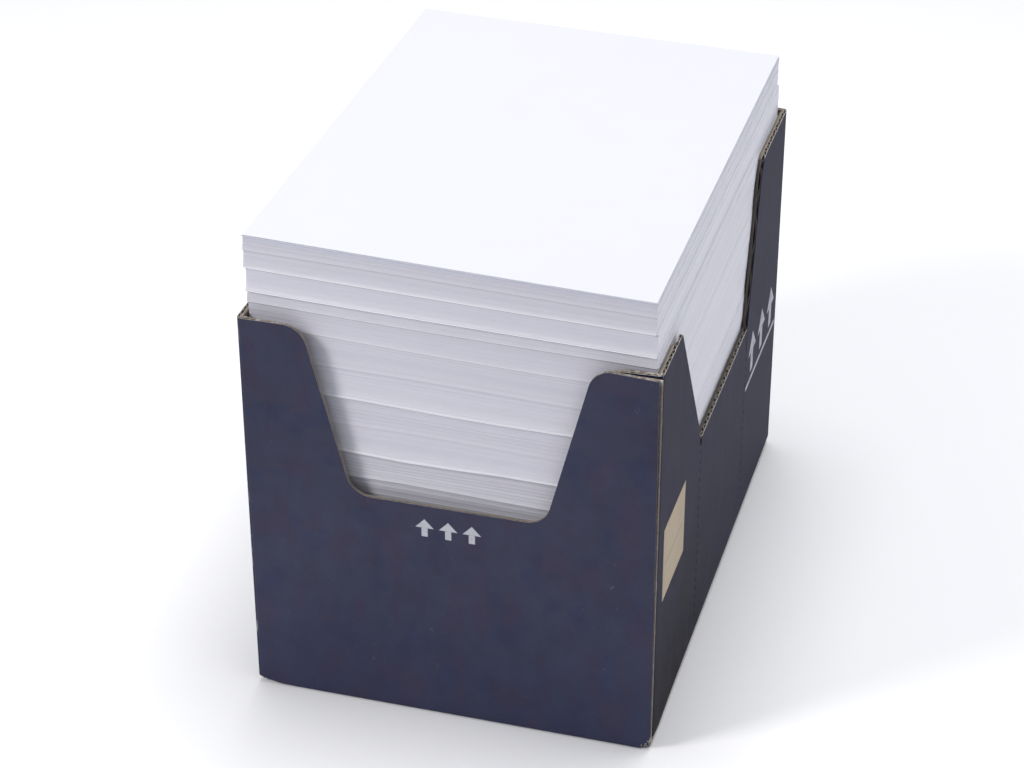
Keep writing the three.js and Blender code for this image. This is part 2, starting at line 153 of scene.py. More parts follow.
class Bench:
    """Puts nodes in one tree and joins them, so that a finish reads as a list of steps."""

    def __init__(self, tree: bpy.types.NodeTree) -> None:
        """Starts on a tree and empties it."""
        self.tree = tree
        tree.nodes.clear()

    def node(self, kind: str, inputs: dict | None = None, **settings: object) -> bpy.types.Node:
        """Adds one node.

        Args:
            kind: The node's type name.
            inputs: Values or sockets, by the input's name or number.
            settings: Properties of the node itself.

        Returns:
            The new node.
        """
        made = self.tree.nodes.new(kind)
        for name, value in settings.items():
            setattr(made, name, value)
        for name, value in (inputs or {}).items():
            self.feed(made.inputs[name], value)
        return made

    def feed(self, socket: bpy.types.NodeSocket, value: object) -> None:
        """Links an input to a socket, or sets it to a constant.

        Args:
            socket: The input.
            value: The socket that it is linked to, or the constant.
        """
        if isinstance(value, bpy.types.NodeSocket):
            self.tree.links.new(value, socket)
        else:
            socket.default_value = value

    def math(self, operation: str, *values: object, clamp: bool = False) -> bpy.types.NodeSocket:
        """Adds a math node.

        Args:
            operation: The name of the operation, such as SINE.
            values: Its one, two or three inputs.
            clamp: Whether the result is kept from 0 to 1.

        Returns:
            The result's socket.
        """
        made = self.node("ShaderNodeMath", dict(enumerate(values)), operation=operation, use_clamp=clamp)
        return made.outputs[0]

    def plus(self, first: object, second: object) -> bpy.types.NodeSocket:
        """Adds two values."""
        return self.math("ADD", first, second)

    def minus(self, first: object, second: object) -> bpy.types.NodeSocket:
        """Takes the second value from the first."""
        return self.math("SUBTRACT", first, second)

    def times(self, first: object, second: object, clamp: bool = False) -> bpy.types.NodeSocket:
        """Multiplies two values."""
        return self.math("MULTIPLY", first, second, clamp=clamp)

    def scaled(self, value: object, factor: object, offset: object) -> bpy.types.NodeSocket:
        """Multiplies a value by a factor and adds an offset."""
        return self.math("MULTIPLY_ADD", value, factor, offset)

    def larger(self, first: object, second: object) -> bpy.types.NodeSocket:
        """Gives the larger of two values."""
        return self.math("MAXIMUM", first, second)

    def absolute(self, value: object) -> bpy.types.NodeSocket:
        """Gives a value without its sign."""
        return self.math("ABSOLUTE", value)

    def step(self, value: object, low: float, high: float) -> bpy.types.NodeSocket:
        """Maps a value smoothly to 0 at low and 1 at high."""
        span = {"Value": value, "From Min": low, "From Max": high}
        return self.node("ShaderNodeMapRange", span, interpolation_type="SMOOTHSTEP").outputs["Result"]

    def fall(self, value: object, low: float, high: float) -> bpy.types.NodeSocket:
        """Maps a value smoothly to 1 at low and 0 at high."""
        return self.minus(1.0, self.step(value, low, high))

    def blend(self, share: object, first: object, second: object) -> bpy.types.NodeSocket:
        """Mixes two colours.

        Args:
            share: The share of the second colour, from 0 to 1.
            first: The first colour.
            second: The second colour.

        Returns:
            The mixed colour's socket.
        """
        made = self.node("ShaderNodeMix", data_type="RGBA")
        for number, value in ((0, share), (6, first), (7, second)):
            self.feed(made.inputs[number], (*value, 1.0) if isinstance(value, tuple) else value)
        return made.outputs[2]

    def tint(self, colour: object, value: object) -> bpy.types.NodeSocket:
        """Makes a colour lighter or darker by a factor."""
        opaque = (*colour, 1.0) if isinstance(colour, tuple) else colour
        return self.node("ShaderNodeHueSaturation", {"Value": value, "Color": opaque}).outputs[0]

    def noise(self, place: object, scale: object, detail: float = 3.0,
              rough: float = 0.55) -> bpy.types.NodeSocket:
        """Adds a noise texture.

        Args:
            place: The place that it is read at.
            scale: How many times finer it is than a noise of a metre.
            detail: How many finer noises are laid over it.
            rough: How strong these are.

        Returns:
            The socket of its value, from 0 to 1.
        """
        inputs = {"Vector": place, "Scale": scale, "Detail": detail, "Roughness": rough}
        return self.node("ShaderNodeTexNoise", inputs).outputs[0]

    def stretched(self, place: object, factors: tuple[float, float, float]) -> bpy.types.NodeSocket:
        """Scales a place by a factor on each axis."""
        return self.node("ShaderNodeVectorMath", {0: place, 1: factors}, operation="MULTIPLY").outputs[0]

    def parts(self, place: object) -> bpy.types.bpy_prop_collection:
        """Takes a vector apart into its three values."""
        return self.node("ShaderNodeSeparateXYZ", {0: place}).outputs

    def joined(self, x: object = 0.0, y: object = 0.0, z: object = 0.0) -> bpy.types.NodeSocket:
        """Joins three values to a vector."""
        return self.node("ShaderNodeCombineXYZ", {0: x, 1: y, 2: z}).outputs[0]

    def paint(self, surface: bpy.types.Node, colour: bpy.types.NodeSocket, rough: object) -> None:
        """Gives a surface its colour and its roughness."""
        self.feed(surface.inputs["Base Color"], colour)
        self.feed(surface.inputs["Roughness"], rough)

    def object_place(self) -> bpy.types.NodeSocket:
        """Gives the place on the object, in metres."""
        return self.node("ShaderNodeTexCoord").outputs["Object"]

    def flat_place(self, uv_map: str) -> bpy.types.NodeSocket:
        """Gives the place in a UV map."""
        return self.node("ShaderNodeUVMap", uv_map=uv_map).outputs[0]

    def attribute(self, name: str) -> bpy.types.NodeSocket:
        """Gives a value that the mesh keeps for each point."""
        return self.node("ShaderNodeAttribute", attribute_name=name).outputs["Fac"]

    def effect(self, name: str, **inputs: object) -> bpy.types.NodeSocket:
        """Places a shared effect.

        Args:
            name: The effect's name.
            inputs: Its inputs, named with underscores for blanks.

        Returns:
            The socket of its one output.
        """
        made = self.node("ShaderNodeGroup", node_tree=bpy.data.node_groups[name])
        for key, value in inputs.items():
            self.feed(made.inputs[key.replace("_", " ")], value)
        return made.outputs[0]


def shared_effect(name: str, inputs: dict[str, object],
                  output: str) -> tuple[Bench, list[bpy.types.NodeSocket]]:
    """Opens a shared effect of the materials.

    Args:
        name: The effect's name.
        inputs: The default of each named input, a number or a vector.
        output: The name of its output, a value.

    Returns:
        The bench of the effect, and the sockets that its inputs come from.
    """
    tree = bpy.data.node_groups.new(name, "ShaderNodeTree")
    for key, default in inputs.items():
        kind = "NodeSocketFloat" if isinstance(default, float) else "NodeSocketVector"
        tree.interface.new_socket(name=key, in_out="INPUT", socket_type=kind).default_value = default
    tree.interface.new_socket(name=output, in_out="OUTPUT", socket_type="NodeSocketFloat")
    bench = Bench(tree)
    given = bench.node("NodeGroupInput")
    return bench, [given.outputs[key] for key in inputs]


def close_effect(bench: Bench, result: bpy.types.NodeSocket) -> None:
    """Leads the result to the output of a shared effect."""
    bench.feed(bench.node("NodeGroupOutput").inputs[0], result)


def make_mottle() -> None:
    """Clouds in three sizes, from 0 to 1, for ink, kraft and paper."""
    bench, (place, scale) = shared_effect("mottle", {"Place": (0.0, 0.0, 0.0), "Scale": 20.0}, "Value")
    large = bench.noise(place, scale, 2.0)
    middle = bench.noise(place, bench.times(scale, 5.3), 3.0)
    small = bench.noise(place, bench.times(scale, 31.0), 2.0, 0.7)
    both = bench.plus(bench.times(large, 0.5), bench.times(middle, 0.32))
    close_effect(bench, bench.plus(both, bench.times(small, 0.18)))


def make_fibres() -> None:
    """Short fibres that cross each other, as a height from 0 to 1, for every paper."""
    bench, (place, scale) = shared_effect("fibres", {"Place": (0.0, 0.0, 0.0), "Scale": 900.0}, "Height")
    level = bench.noise(bench.stretched(place, (0.25, 1.0, 1.0)), scale, 2.0)
    upright = bench.noise(bench.stretched(place, (1.0, 1.0, 0.22)), bench.times(scale, 0.8), 2.0)
    close_effect(bench, bench.times(bench.plus(level, upright), 0.5))


def make_flute_lines() -> None:
    """The flutes that show through a liner as a faint washboard, from 0 to 1."""
    bench, (along, pitch) = shared_effect("flute_lines", {"Along": 0.0, "Pitch": 7.8}, "Height")
    turn = bench.times(bench.math("DIVIDE", along, pitch), 2 * math.pi)
    close_effect(bench, bench.scaled(bench.math("SINE", turn), 0.5, 0.5))


def make_scuffs() -> None:
    """Rubbed streaks and spots, as a mask, for print and label."""
    inputs = {"Place": (0.0, 0.0, 0.0), "Scale": 30.0, "Cover": 0.3}
    bench, (place, scale, cover) = shared_effect("scuffs", inputs, "Mask")
    streaks = bench.noise(bench.stretched(place, (1.0, 0.3, 0.3)), scale, 5.0, 0.65)
    gaps = bench.noise(place, bench.times(scale, 4.0), 4.0, 0.7)
    low = bench.scaled(cover, -0.25, 0.42)
    close_effect(bench, bench.times(bench.minus(bench.times(streaks, gaps), low), 9.0, clamp=True))


def make_arrows() -> None:
    """A row of plain upright arrows over a bar, as a mask, for a place in millimetres.

    Along and Up are measured from the middle of the row, at the foot of the arrows' heads. Widths are
    shares of the pitch, and heights are shares of the height.
    """
    soft = 0.02
    head_slope, shaft_edge, shaft_foot = 0.78, (0.11, 0.15), -0.5
    bar_middle, bar_edge, bar_overhang = -0.70, (0.04, 0.07), 0.08
    inputs = {"Along": 0.0, "Up": 0.0, "Pitch": 20.0, "Height": 20.0, "Half Count": 1.5, "Bar": 1.0}
    bench, given = shared_effect("arrows", inputs, "Mask")
    along, up, pitch, height, half_count, bar = given
    x = bench.math("DIVIDE", along, pitch)
    z = bench.math("DIVIDE", up, height)
    aside = bench.absolute(bench.minus(bench.math("FRACT", bench.plus(x, half_count)), 0.5))
    head_edge = bench.minus(aside, bench.times(bench.minus(0.5, z), head_slope))
    head = bench.times(bench.fall(head_edge, -soft, soft), bench.step(z, -soft, soft))
    shaft = bench.times(bench.fall(aside, *shaft_edge), bench.fall(z, -soft, soft))
    shaft = bench.times(shaft, bench.step(z, shaft_foot - soft, shaft_foot + soft))
    away = bench.absolute(x)
    row = bench.times(bench.larger(head, shaft), bench.math("LESS_THAN", away, half_count))
    line = bench.times(bench.fall(bench.absolute(bench.minus(z, bar_middle)), *bar_edge), bar)
    line = bench.times(line, bench.math("LESS_THAN", away, bench.plus(half_count, bar_overhang)))
    close_effect(bench, bench.larger(row, line))


def new_material(name: str) -> tuple[bpy.types.Material, Bench, bpy.types.Node]:
    """Makes a material with one Principled BSDF.

    Args:
        name: The material's name.

    Returns:
        The material, its bench and its Principled BSDF.
    """
    made = bpy.data.materials.new(name)
    made.use_nodes = True
    bench = Bench(made.node_tree)
    surface = bench.node("ShaderNodeBsdfPrincipled")
    out = bench.node("ShaderNodeOutputMaterial")
    bench.feed(out.inputs["Surface"], surface.outputs[0])
    return made, bench, surface


def add_bump(bench: Bench, surface: bpy.types.Node, height: bpy.types.NodeSocket,
             depth_mm: float, strength: float = 1.0) -> None:
    """Leads a height to the normal of a surface.

    Args:
        bench: The material's bench.
        surface: Its Principled BSDF.
        height: The relief, from 0 to 1.
        depth_mm: How deep the relief is.
        strength: How much of it shows.
    """
    relief = {"Height": height, "Distance": depth_mm * MM, "Strength": strength}
    bump = bench.node("ShaderNodeBump", relief)
    bench.feed(surface.inputs["Normal"], bump.outputs[0])


# Finishes


class Board(Enum):
    """The three sheets that the board is glued up from, outermost first."""

    PRINTED = "printed_liner"
    FLUTED = "fluted_sheet"
    KRAFT = "kraft_liner"


@dataclass(frozen=True)
class Mark:
    """A row of plain arrows printed on a wall: its middle, its sizes and whether a bar is under it."""

    wall: str
    place: float
    up: float
    pitch: float
    height: float
    count: int
    bar: bool


@dataclass(frozen=True)
class PrintedFinish:
    """Dark blue ink on a white liner, with the flutes showing through and worn folds; the side walls take a
    darker copy of the ink as painted shade, with more painted shade at their foot.
    """

    front_ink: Colour = (0.048, 0.050, 0.083)
    # The side walls' ink is painted shade: a darker copy of the front's ink, darkest at their foot near the
    # front.
    shaded_side_ink: Colour = (0.027, 0.027, 0.051)
    foot_ink: Colour = (0.043, 0.046, 0.086)
    side_foot_shade: Colour = (0.009, 0.008, 0.012)
    violet_ink: Colour = (0.055, 0.041, 0.070)
    cool_ink: Colour = (0.030, 0.041, 0.087)
    bare: Colour = (0.554, 0.536, 0.509)
    mark: Colour = (0.500, 0.509, 0.554)
    scuff: Colour = (0.268, 0.268, 0.321)
    speck: Colour = (0.152, 0.156, 0.205)
    roughness: float = 0.58
    shine: float = 0.05
    fold_wear: float = 1.1
    cloud_scale: float = 14.0
    fine_scale: float = 160.0
    low_span: Span = (40.0, 170.0)
    low_cloud: float = 90.0
    scuff_scale: float = 38.0
    scuff_cover: float = 0.12
    scuff_share: float = 0.35
    speck_scale: float = 900.0
    speck_span: Span = (0.77, 0.81)
    torn_scale: float = 700.0
    relief_mm: float = 0.04
    marks: tuple[Mark, ...] = (
        Mark("front", 0.0, 118.6, 12.6, 10.5, 3, False),
        Mark("right", 109.5, 107.5, 26.5, 26.0, 3, True),
        Mark("left", 109.5, 107.5, 26.5, 26.0, 3, True),
    )

    def build(self, carton: "Carton") -> bpy.types.Material:
        """Makes the material.

        Args:
            carton: The carton, whose folds and walls the wear and the marks follow.

        Returns:
            The material.
        """
        made, bench, surface = new_material(Board.PRINTED.value)
        flat = bench.flat_place("blank")
        x, y, _ = bench.parts(flat)
        along, up = bench.times(x, 1 / MM), bench.times(y, 1 / MM)
        cloud = bench.effect("mottle", Place=flat, Scale=self.cloud_scale)
        fine = bench.effect("mottle", Place=flat, Scale=self.fine_scale)
        ink = self.ink(bench, carton, along, up, cloud)
        ink = bench.tint(ink, bench.plus(bench.scaled(cloud, 0.8, 0.57), bench.times(fine, 0.1)))

        worn_mark = bench.times(self.mark_mask(bench, carton, along, up), bench.step(fine, 0.25, 0.5))
        ink = bench.blend(worn_mark, ink, self.mark)
        scuffed = bench.effect("scuffs", Place=flat, Scale=self.scuff_scale, Cover=self.scuff_cover)
        ink = bench.blend(bench.times(scuffed, self.scuff_share), ink, self.scuff)
        specks = bench.step(bench.noise(flat, self.speck_scale, 1.0), *self.speck_span)
        ink = bench.blend(specks, ink, self.speck)
        ragged = bench.step(bench.noise(flat, self.torn_scale, 3.0), 0.45, 0.62)
        torn = bench.step(bench.times(ragged, bench.attribute("rub_and_shade")), 0.3, 0.55)
        worn = bench.larger(torn, self.fold_mask(bench, carton, along))
        rough = bench.scaled(scuffed, 0.2, bench.scaled(cloud, 0.16, self.roughness - 0.08))
        bench.paint(surface, bench.blend(worn, ink, self.bare), rough)

        flutes = bench.effect("flute_lines", Along=along, Pitch=carton.flute_pitch)
        add_bump(bench, surface, bench.plus(flutes, bench.times(fine, 0.8)), self.relief_mm, 0.5)
        surface.inputs["Specular IOR Level"].default_value = self.shine
        return made

    def ink(self, bench: Bench, carton: "Carton", along: bpy.types.NodeSocket,
            up: bpy.types.NodeSocket, cloud: bpy.types.NodeSocket) -> bpy.types.NodeSocket:
        """Mixes the blue of the walls, clouded violet and cool: a darker blue towards the front's foot, and
        on the side walls a darker copy of the front's ink as painted shade, with more painted shade at the
        right wall's foot near the front.

        Args:
            bench: The material's bench.
            carton: The carton, whose walls start and end along the blank.
            along: The place along the blank, in millimetres.
            up: The height on the blank, in millimetres.
            cloud: The large clouds.

        Returns:
            The ink's colour.
        """
        flat = bench.flat_place("blank")
        front, right = carton.panel("front").start, carton.panel("right").start
        on_front = bench.step(along, front - 3, front)
        # low is 1 towards the foot: a darker blue on the front, and painted shade on the right wall near the
        # front.
        low = bench.fall(bench.scaled(cloud, self.low_cloud, up), *self.low_span)
        front_ink = bench.blend(low, self.front_ink, self.foot_ink)
        # Painted shade: the side walls' darker ink, darker still at their foot near the front.
        low_side = bench.times(low, bench.fall(along, right + 40, right + 190))
        shaded_side_ink = bench.blend(low_side, self.shaded_side_ink, self.side_foot_shade)
        ink = bench.blend(on_front, shaded_side_ink, front_ink)
        patches = bench.noise(bench.stretched(flat, (1.0, 0.45, 1.0)), 75.0, 2.0, 0.5)
        share = bench.times(bench.step(patches, 0.46, 0.66), bench.scaled(on_front, 0.25, 0.2))
        ink = bench.blend(share, ink, self.violet_ink)
        patches = bench.noise(flat, 55.0, 2.0, 0.5)
        share = bench.times(bench.step(patches, 0.5, 0.7), bench.scaled(on_front, 0.25, 0.12))
        return bench.blend(share, ink, self.cool_ink)

    def mark_mask(self, bench: Bench, carton: "Carton", along: bpy.types.NodeSocket,
                  up: bpy.types.NodeSocket) -> bpy.types.NodeSocket:
        """Places the printed rows of arrows.

        Args:
            bench: The material's bench.
            carton: The carton, whose walls the rows stand on.
            along: The place along the blank, in millimetres.
            up: The height on the blank, in millimetres.

        Returns:
            The mask of all rows.
        """
        mask = 0.0
        for mark in self.marks:
            aside = bench.minus(along, carton.on_wall(mark.wall, mark.place))
            row = bench.effect("arrows", Along=aside, Up=bench.minus(up, mark.up), Pitch=mark.pitch,
                               Height=mark.height, Half_Count=mark.count / 2, Bar=float(mark.bar))
            mask = bench.larger(mask, row)
        return mask

    def fold_mask(self, bench: Bench, carton: "Carton",
                  along: bpy.types.NodeSocket) -> bpy.types.NodeSocket:
        """Marks where the ink is rubbed off along the upright folds.

        Args:
            bench: The material's bench.
            carton: The carton, which knows where its folds are.
            along: The place along the blank, in millimetres.

        Returns:
            The mask of all folds.
        """
        streaks = bench.stretched(bench.flat_place("blank"), (1.0, 0.12, 1.0))
        ragged = bench.step(bench.noise(streaks, 520.0, 4.0), 0.56, 0.66)
        mask = 0.0
        for place in carton.fold_places():
            distance = bench.absolute(bench.minus(along, place))
            mask = bench.larger(mask, bench.fall(distance, 0.2, self.fold_wear))
        return bench.times(bench.times(mask, ragged), 0.6)


@dataclass(frozen=True)
class KraftFinish:
    """Bare board: a kraft liner, the fluted sheet inside it, or the white back of the print, rubbed pale in
    places and with painted shade on some cut edges.
    """

    name: str
    light: Colour
    dark: Colour
    torn: Colour = (0.554, 0.518, 0.473)
    # The dark colour of the painted shade on shaded cut edges.
    edge_shade: Colour = (0.012, 0.012, 0.016)
    roughness: float = 0.85
    cloud_scale: float = 60.0
    fibre_scale: float = 1300.0
    torn_scale: float = 420.0
    glue_rise: Span = (0.01, 0.03)
    glue_fall: Span = (0.16, 0.24)
    relief_mm: float = 0.08
    washboard: bool = False

    def build(self, carton: "Carton") -> bpy.types.Material:
        """Makes the material.

        Args:
            carton: The carton, for the pitch of its flutes.

        Returns:
            The material.
        """
        made, bench, surface = new_material(self.name)
        place = bench.object_place()
        cloud = bench.effect("mottle", Place=place, Scale=self.cloud_scale)
        fibres = bench.effect("fibres", Place=place, Scale=self.fibre_scale)
        share = bench.plus(bench.times(cloud, 0.7), bench.times(fibres, 0.5))
        board = bench.blend(bench.step(share, 0.35, 0.85), self.dark, self.light)
        rub_and_shade = bench.attribute("rub_and_shade")
        torn = bench.times(bench.step(bench.noise(place, self.torn_scale, 4.0, 0.6), 0.5, 0.6), rub_and_shade)
        board = bench.blend(bench.times(torn, 0.8), board, self.torn)
        across = bench.attribute("across")
        glue_line = bench.times(bench.step(across, *self.glue_rise), bench.fall(across, *self.glue_fall))
        board = bench.blend(bench.times(glue_line, 0.7), board, self.torn)
        # Below 0 the attribute paints shade on cut edges: beside the slits and on the shaded edges of the
        # openings.
        edge_shade_share = bench.step(bench.times(rub_and_shade, -1.0), 0.2, 0.8)
        board = bench.blend(edge_shade_share, board, self.edge_shade)
        bench.paint(surface, board, bench.scaled(cloud, 0.12, self.roughness - 0.06))
        relief = fibres
        if self.washboard:
            along = bench.times(bench.parts(bench.flat_place("blank"))[0], 1 / MM)
            flutes = bench.effect("flute_lines", Along=along, Pitch=carton.flute_pitch)
            relief = bench.scaled(flutes, 1.5, fibres)
        add_bump(bench, surface, relief, self.relief_mm, 0.7)
        return made


@dataclass(frozen=True)
class FormPaperFinish:
    """Uncoated white form paper, with fine lines for the sheets where their edges show, painted light and
    shade by how each face lies, a painted highlight on each bundle's lip and painted shade under it.

    The heights of the painted blue shadow lines under the top sheets' edges are in millimetres, and the
    reach of their edges is in metres.
    """

    # The top, side and fold colours are lit and shaded copies of one white paper: the top darker than the
    # side faces, and the fold faces darker and bluer, as painted light and shade.
    top: Colour = (0.692, 0.696, 0.732)
    side: Colour = (0.830, 0.830, 0.884)
    fold_face_shade: Colour = (0.625, 0.616, 0.696)
    line: Colour = (0.571, 0.571, 0.643)
    lip_highlight: Colour = (0.955, 0.95, 0.995)
    shade: Colour = (0.304, 0.295, 0.321)
    shadow_blue: Colour = (0.536, 0.571, 0.696)
    shadow_lines: tuple[float, ...] = (259.4, 257.6)
    line_reach: Span = (0.0002, 0.0007)
    sheet_scale: float = 2600.0
    band_scale: float = 260.0
    fibre_scale: float = 1500.0
    edge_span: Span = (0.3, 0.8)
    relief_mm: float = 0.08
    roughness: float = 0.8

    def build(self) -> bpy.types.Material:
        """Makes the material.

        Returns:
            The material.
        """
        made, bench, surface = new_material("form_paper_finish")
        place = bench.object_place()
        height = bench.attribute("sheet_height")
        x, y, _ = bench.parts(place)
        level = bench.joined(x, y, height)
        sheets = bench.noise(bench.stretched(level, (2.0, 2.0, self.sheet_scale)), 1.0, 3.0, 0.7)
        bands = bench.noise(bench.stretched(level, (1.5, 1.5, self.band_scale)), 1.0, 2.0, 0.5)
        normal = bench.parts(bench.node("ShaderNodeNewGeometry").outputs["Normal"])
        on_edge = bench.fall(bench.absolute(normal[2]), *self.edge_span)
        on_fold = bench.times(on_edge, bench.step(bench.absolute(normal[1]), 0.3, 0.7))
        # Colour by facing: painted light and shade on one white paper.
        paper = bench.blend(on_edge, self.top, self.side)
        paper = bench.blend(on_fold, paper, self.fold_face_shade)
        lines = bench.times(bench.step(sheets, 0.5, 0.75), 0.35)
        lines = bench.scaled(bench.step(bands, 0.45, 0.75), 0.3, lines)
        paper = bench.blend(bench.times(lines, on_edge), paper, self.line)
        # Painted highlight on the lips of the bundles.
        lip = bench.times(bench.attribute("sheet_highlight"), on_fold, clamp=True)
        paper = bench.blend(lip, paper, self.lip_highlight)
        # Painted shade: each bundle's shade and the dark line under each lip.
        shown = bench.scaled(on_fold, 0.7, bench.times(on_edge, 0.3))
        paper = bench.blend(bench.times(bench.attribute("sheet_shade"), shown), paper, self.shade)
        # Painted blue shadow lines under the top sheets' edges.
        for line in self.shadow_lines:
            away = bench.absolute(bench.minus(height, line * MM))
            shadow_blue = bench.times(bench.fall(away, *self.line_reach), on_edge)
            paper = bench.blend(bench.times(shadow_blue, 0.75), paper, self.shadow_blue)
        cloud = bench.effect("mottle", Place=place, Scale=9.0)
        paper = bench.tint(paper, bench.scaled(cloud, 0.05, 0.975))
        bench.paint(surface, paper, bench.scaled(cloud, 0.1, self.roughness - 0.05))
        fibres = bench.effect("fibres", Place=place, Scale=self.fibre_scale)
        relief = bench.plus(bench.times(fibres, 0.25), bench.times(sheets, on_edge))
        add_bump(bench, surface, relief, self.relief_mm, 0.4)
        return made


@dataclass(frozen=True)
class LabelFinish:
    """Tan label paper with one plain rule across its middle."""

    tan: Colour = (0.446, 0.357, 0.246)
    pale: Colour = (0.518, 0.433, 0.312)
    rule: Colour = (0.179, 0.152, 0.125)
    rule_height: float = 0.47
    rule_edge: Span = (0.006, 0.012)
    rule_end: Span = (0.41, 0.42)
    roughness: float = 0.7

    def build(self) -> bpy.types.Material:
        """Makes the material.

        Returns:
            The material.
        """
        made, bench, surface = new_material("label_paper_finish")
        x, y, _ = bench.parts(bench.flat_place("label"))
        place = bench.object_place()
        cloud = bench.effect("mottle", Place=place, Scale=40.0)
        fibres = bench.effect("fibres", Place=place, Scale=1400.0)
        share = bench.step(bench.scaled(fibres, 0.4, cloud), 0.4, 1.0)
        paper = bench.blend(share, self.tan, self.pale)
        across = bench.absolute(bench.minus(y, self.rule_height))
        within = bench.fall(bench.absolute(bench.minus(x, 0.5)), *self.rule_end)
        rule = bench.times(bench.fall(across, *self.rule_edge), within)
        rule = bench.times(rule, bench.step(bench.noise(place, 1500.0), 0.3, 0.5))
        paper = bench.blend(bench.times(rule, 0.75), paper, self.rule)
        scuffed = bench.times(bench.effect("scuffs", Place=place, Scale=60.0, Cover=0.2), 0.3)
        rough = bench.scaled(cloud, 0.1, self.roughness - 0.05)
        bench.paint(surface, bench.blend(scuffed, paper, self.pale), rough)
        add_bump(bench, surface, fibres, 0.05, 0.5)
        return made


WHITE_BACK = KraftFinish("white_liner", (0.554, 0.527, 0.491), (0.321, 0.295, 0.277))
INNER_KRAFT = KraftFinish(Board.KRAFT.value, (0.268, 0.219, 0.165), (0.170, 0.138, 0.107), washboard=True)
FLUTE_KRAFT = KraftFinish(Board.FLUTED.value, (0.232, 0.192, 0.147), (0.134, 0.107, 0.085))


# The carton


def rounded(corners: list[tuple[float, ...]], steps: int = 7) -> Outline:
    """Rounds the corners of an outline.

    Args:
        corners: The corners as (along, up) or (along, up, radius).
        steps: How many stretches make an arc.

    Returns:
        The points of the outline.
    """
    points = []
    for i, corner in enumerate(corners):
        here = Vector(corner[:2])
        radius = corner[2] if len(corner) > 2 else 0
        if not radius:
            points.append(tuple(here))
            continue
        before = (Vector(corners[i - 1][:2]) - here).normalized()
        after = (Vector(corners[(i + 1) % len(corners)][:2]) - here).normalized()
        half = before.angle(after) / 2
        centre = here + (before + after).normalized() * radius / math.sin(half)
        first = here + before * radius / math.tan(half) - centre
        last = here + after * radius / math.tan(half) - centre
        turn = math.atan2(first.x * last.y - first.y * last.x, first.dot(last))
        for k in range(steps + 1):
            points.append(tuple(centre + Matrix.Rotation(turn * k / steps, 2) @ first))
    return points


def inside(points: np.ndarray, outline: Outline) -> np.ndarray:
    """Tells which points lie inside an outline.

    Args:
        points: The points, one a row.
        outline: The outline's own points in order.

    Returns:
        True for each point inside.
    """
    x, y = points[:, 0], points[:, 1]
    found = np.zeros(len(points), bool)
    for (ax, ay), (bx, by) in zip(outline, outline[1:] + outline[:1]):
        if ay == by:
            continue
        crosses = (ay > y) != (by > y)
        found ^= crosses & (x < (bx - ax) * (y - ay) / (by - ay) + ax)
    return found


def distance_to(points: np.ndarray, outline: Outline) -> np.ndarray:
    """Gives how far each point is from the line of an outline.

    Args:
        points: The points, one a row.
        outline: The outline's own points in order.

    Returns:
        The shortest distance of each point.
    """
    nearest = np.full(len(points), np.inf)
    for first, last in zip(outline, outline[1:] + outline[:1]):
        start, way = np.array(first), np.array(last) - np.array(first)
        share = np.clip((points - start) @ way / max(way @ way, 1e-9), 0, 1)
        nearest = np.minimum(nearest, np.linalg.norm(points - start - share[:, None] * way, axis=1))
    return nearest


@dataclass(frozen=True)
class Panel:
    """One straight stretch of the blank between two upright folds, seen from above."""

    name: str
    start: float
    length: float
    origin: Point
    heading: Point
    foot: float


@dataclass(frozen=True)
class Knock:
    """A corner's foot pressed in: its reach along x, y and z, and how flat it is pressed.

    The reach along x is below 0 at a left corner.
    """

    along_x: float
    along_y: float
    up: float
    share: float


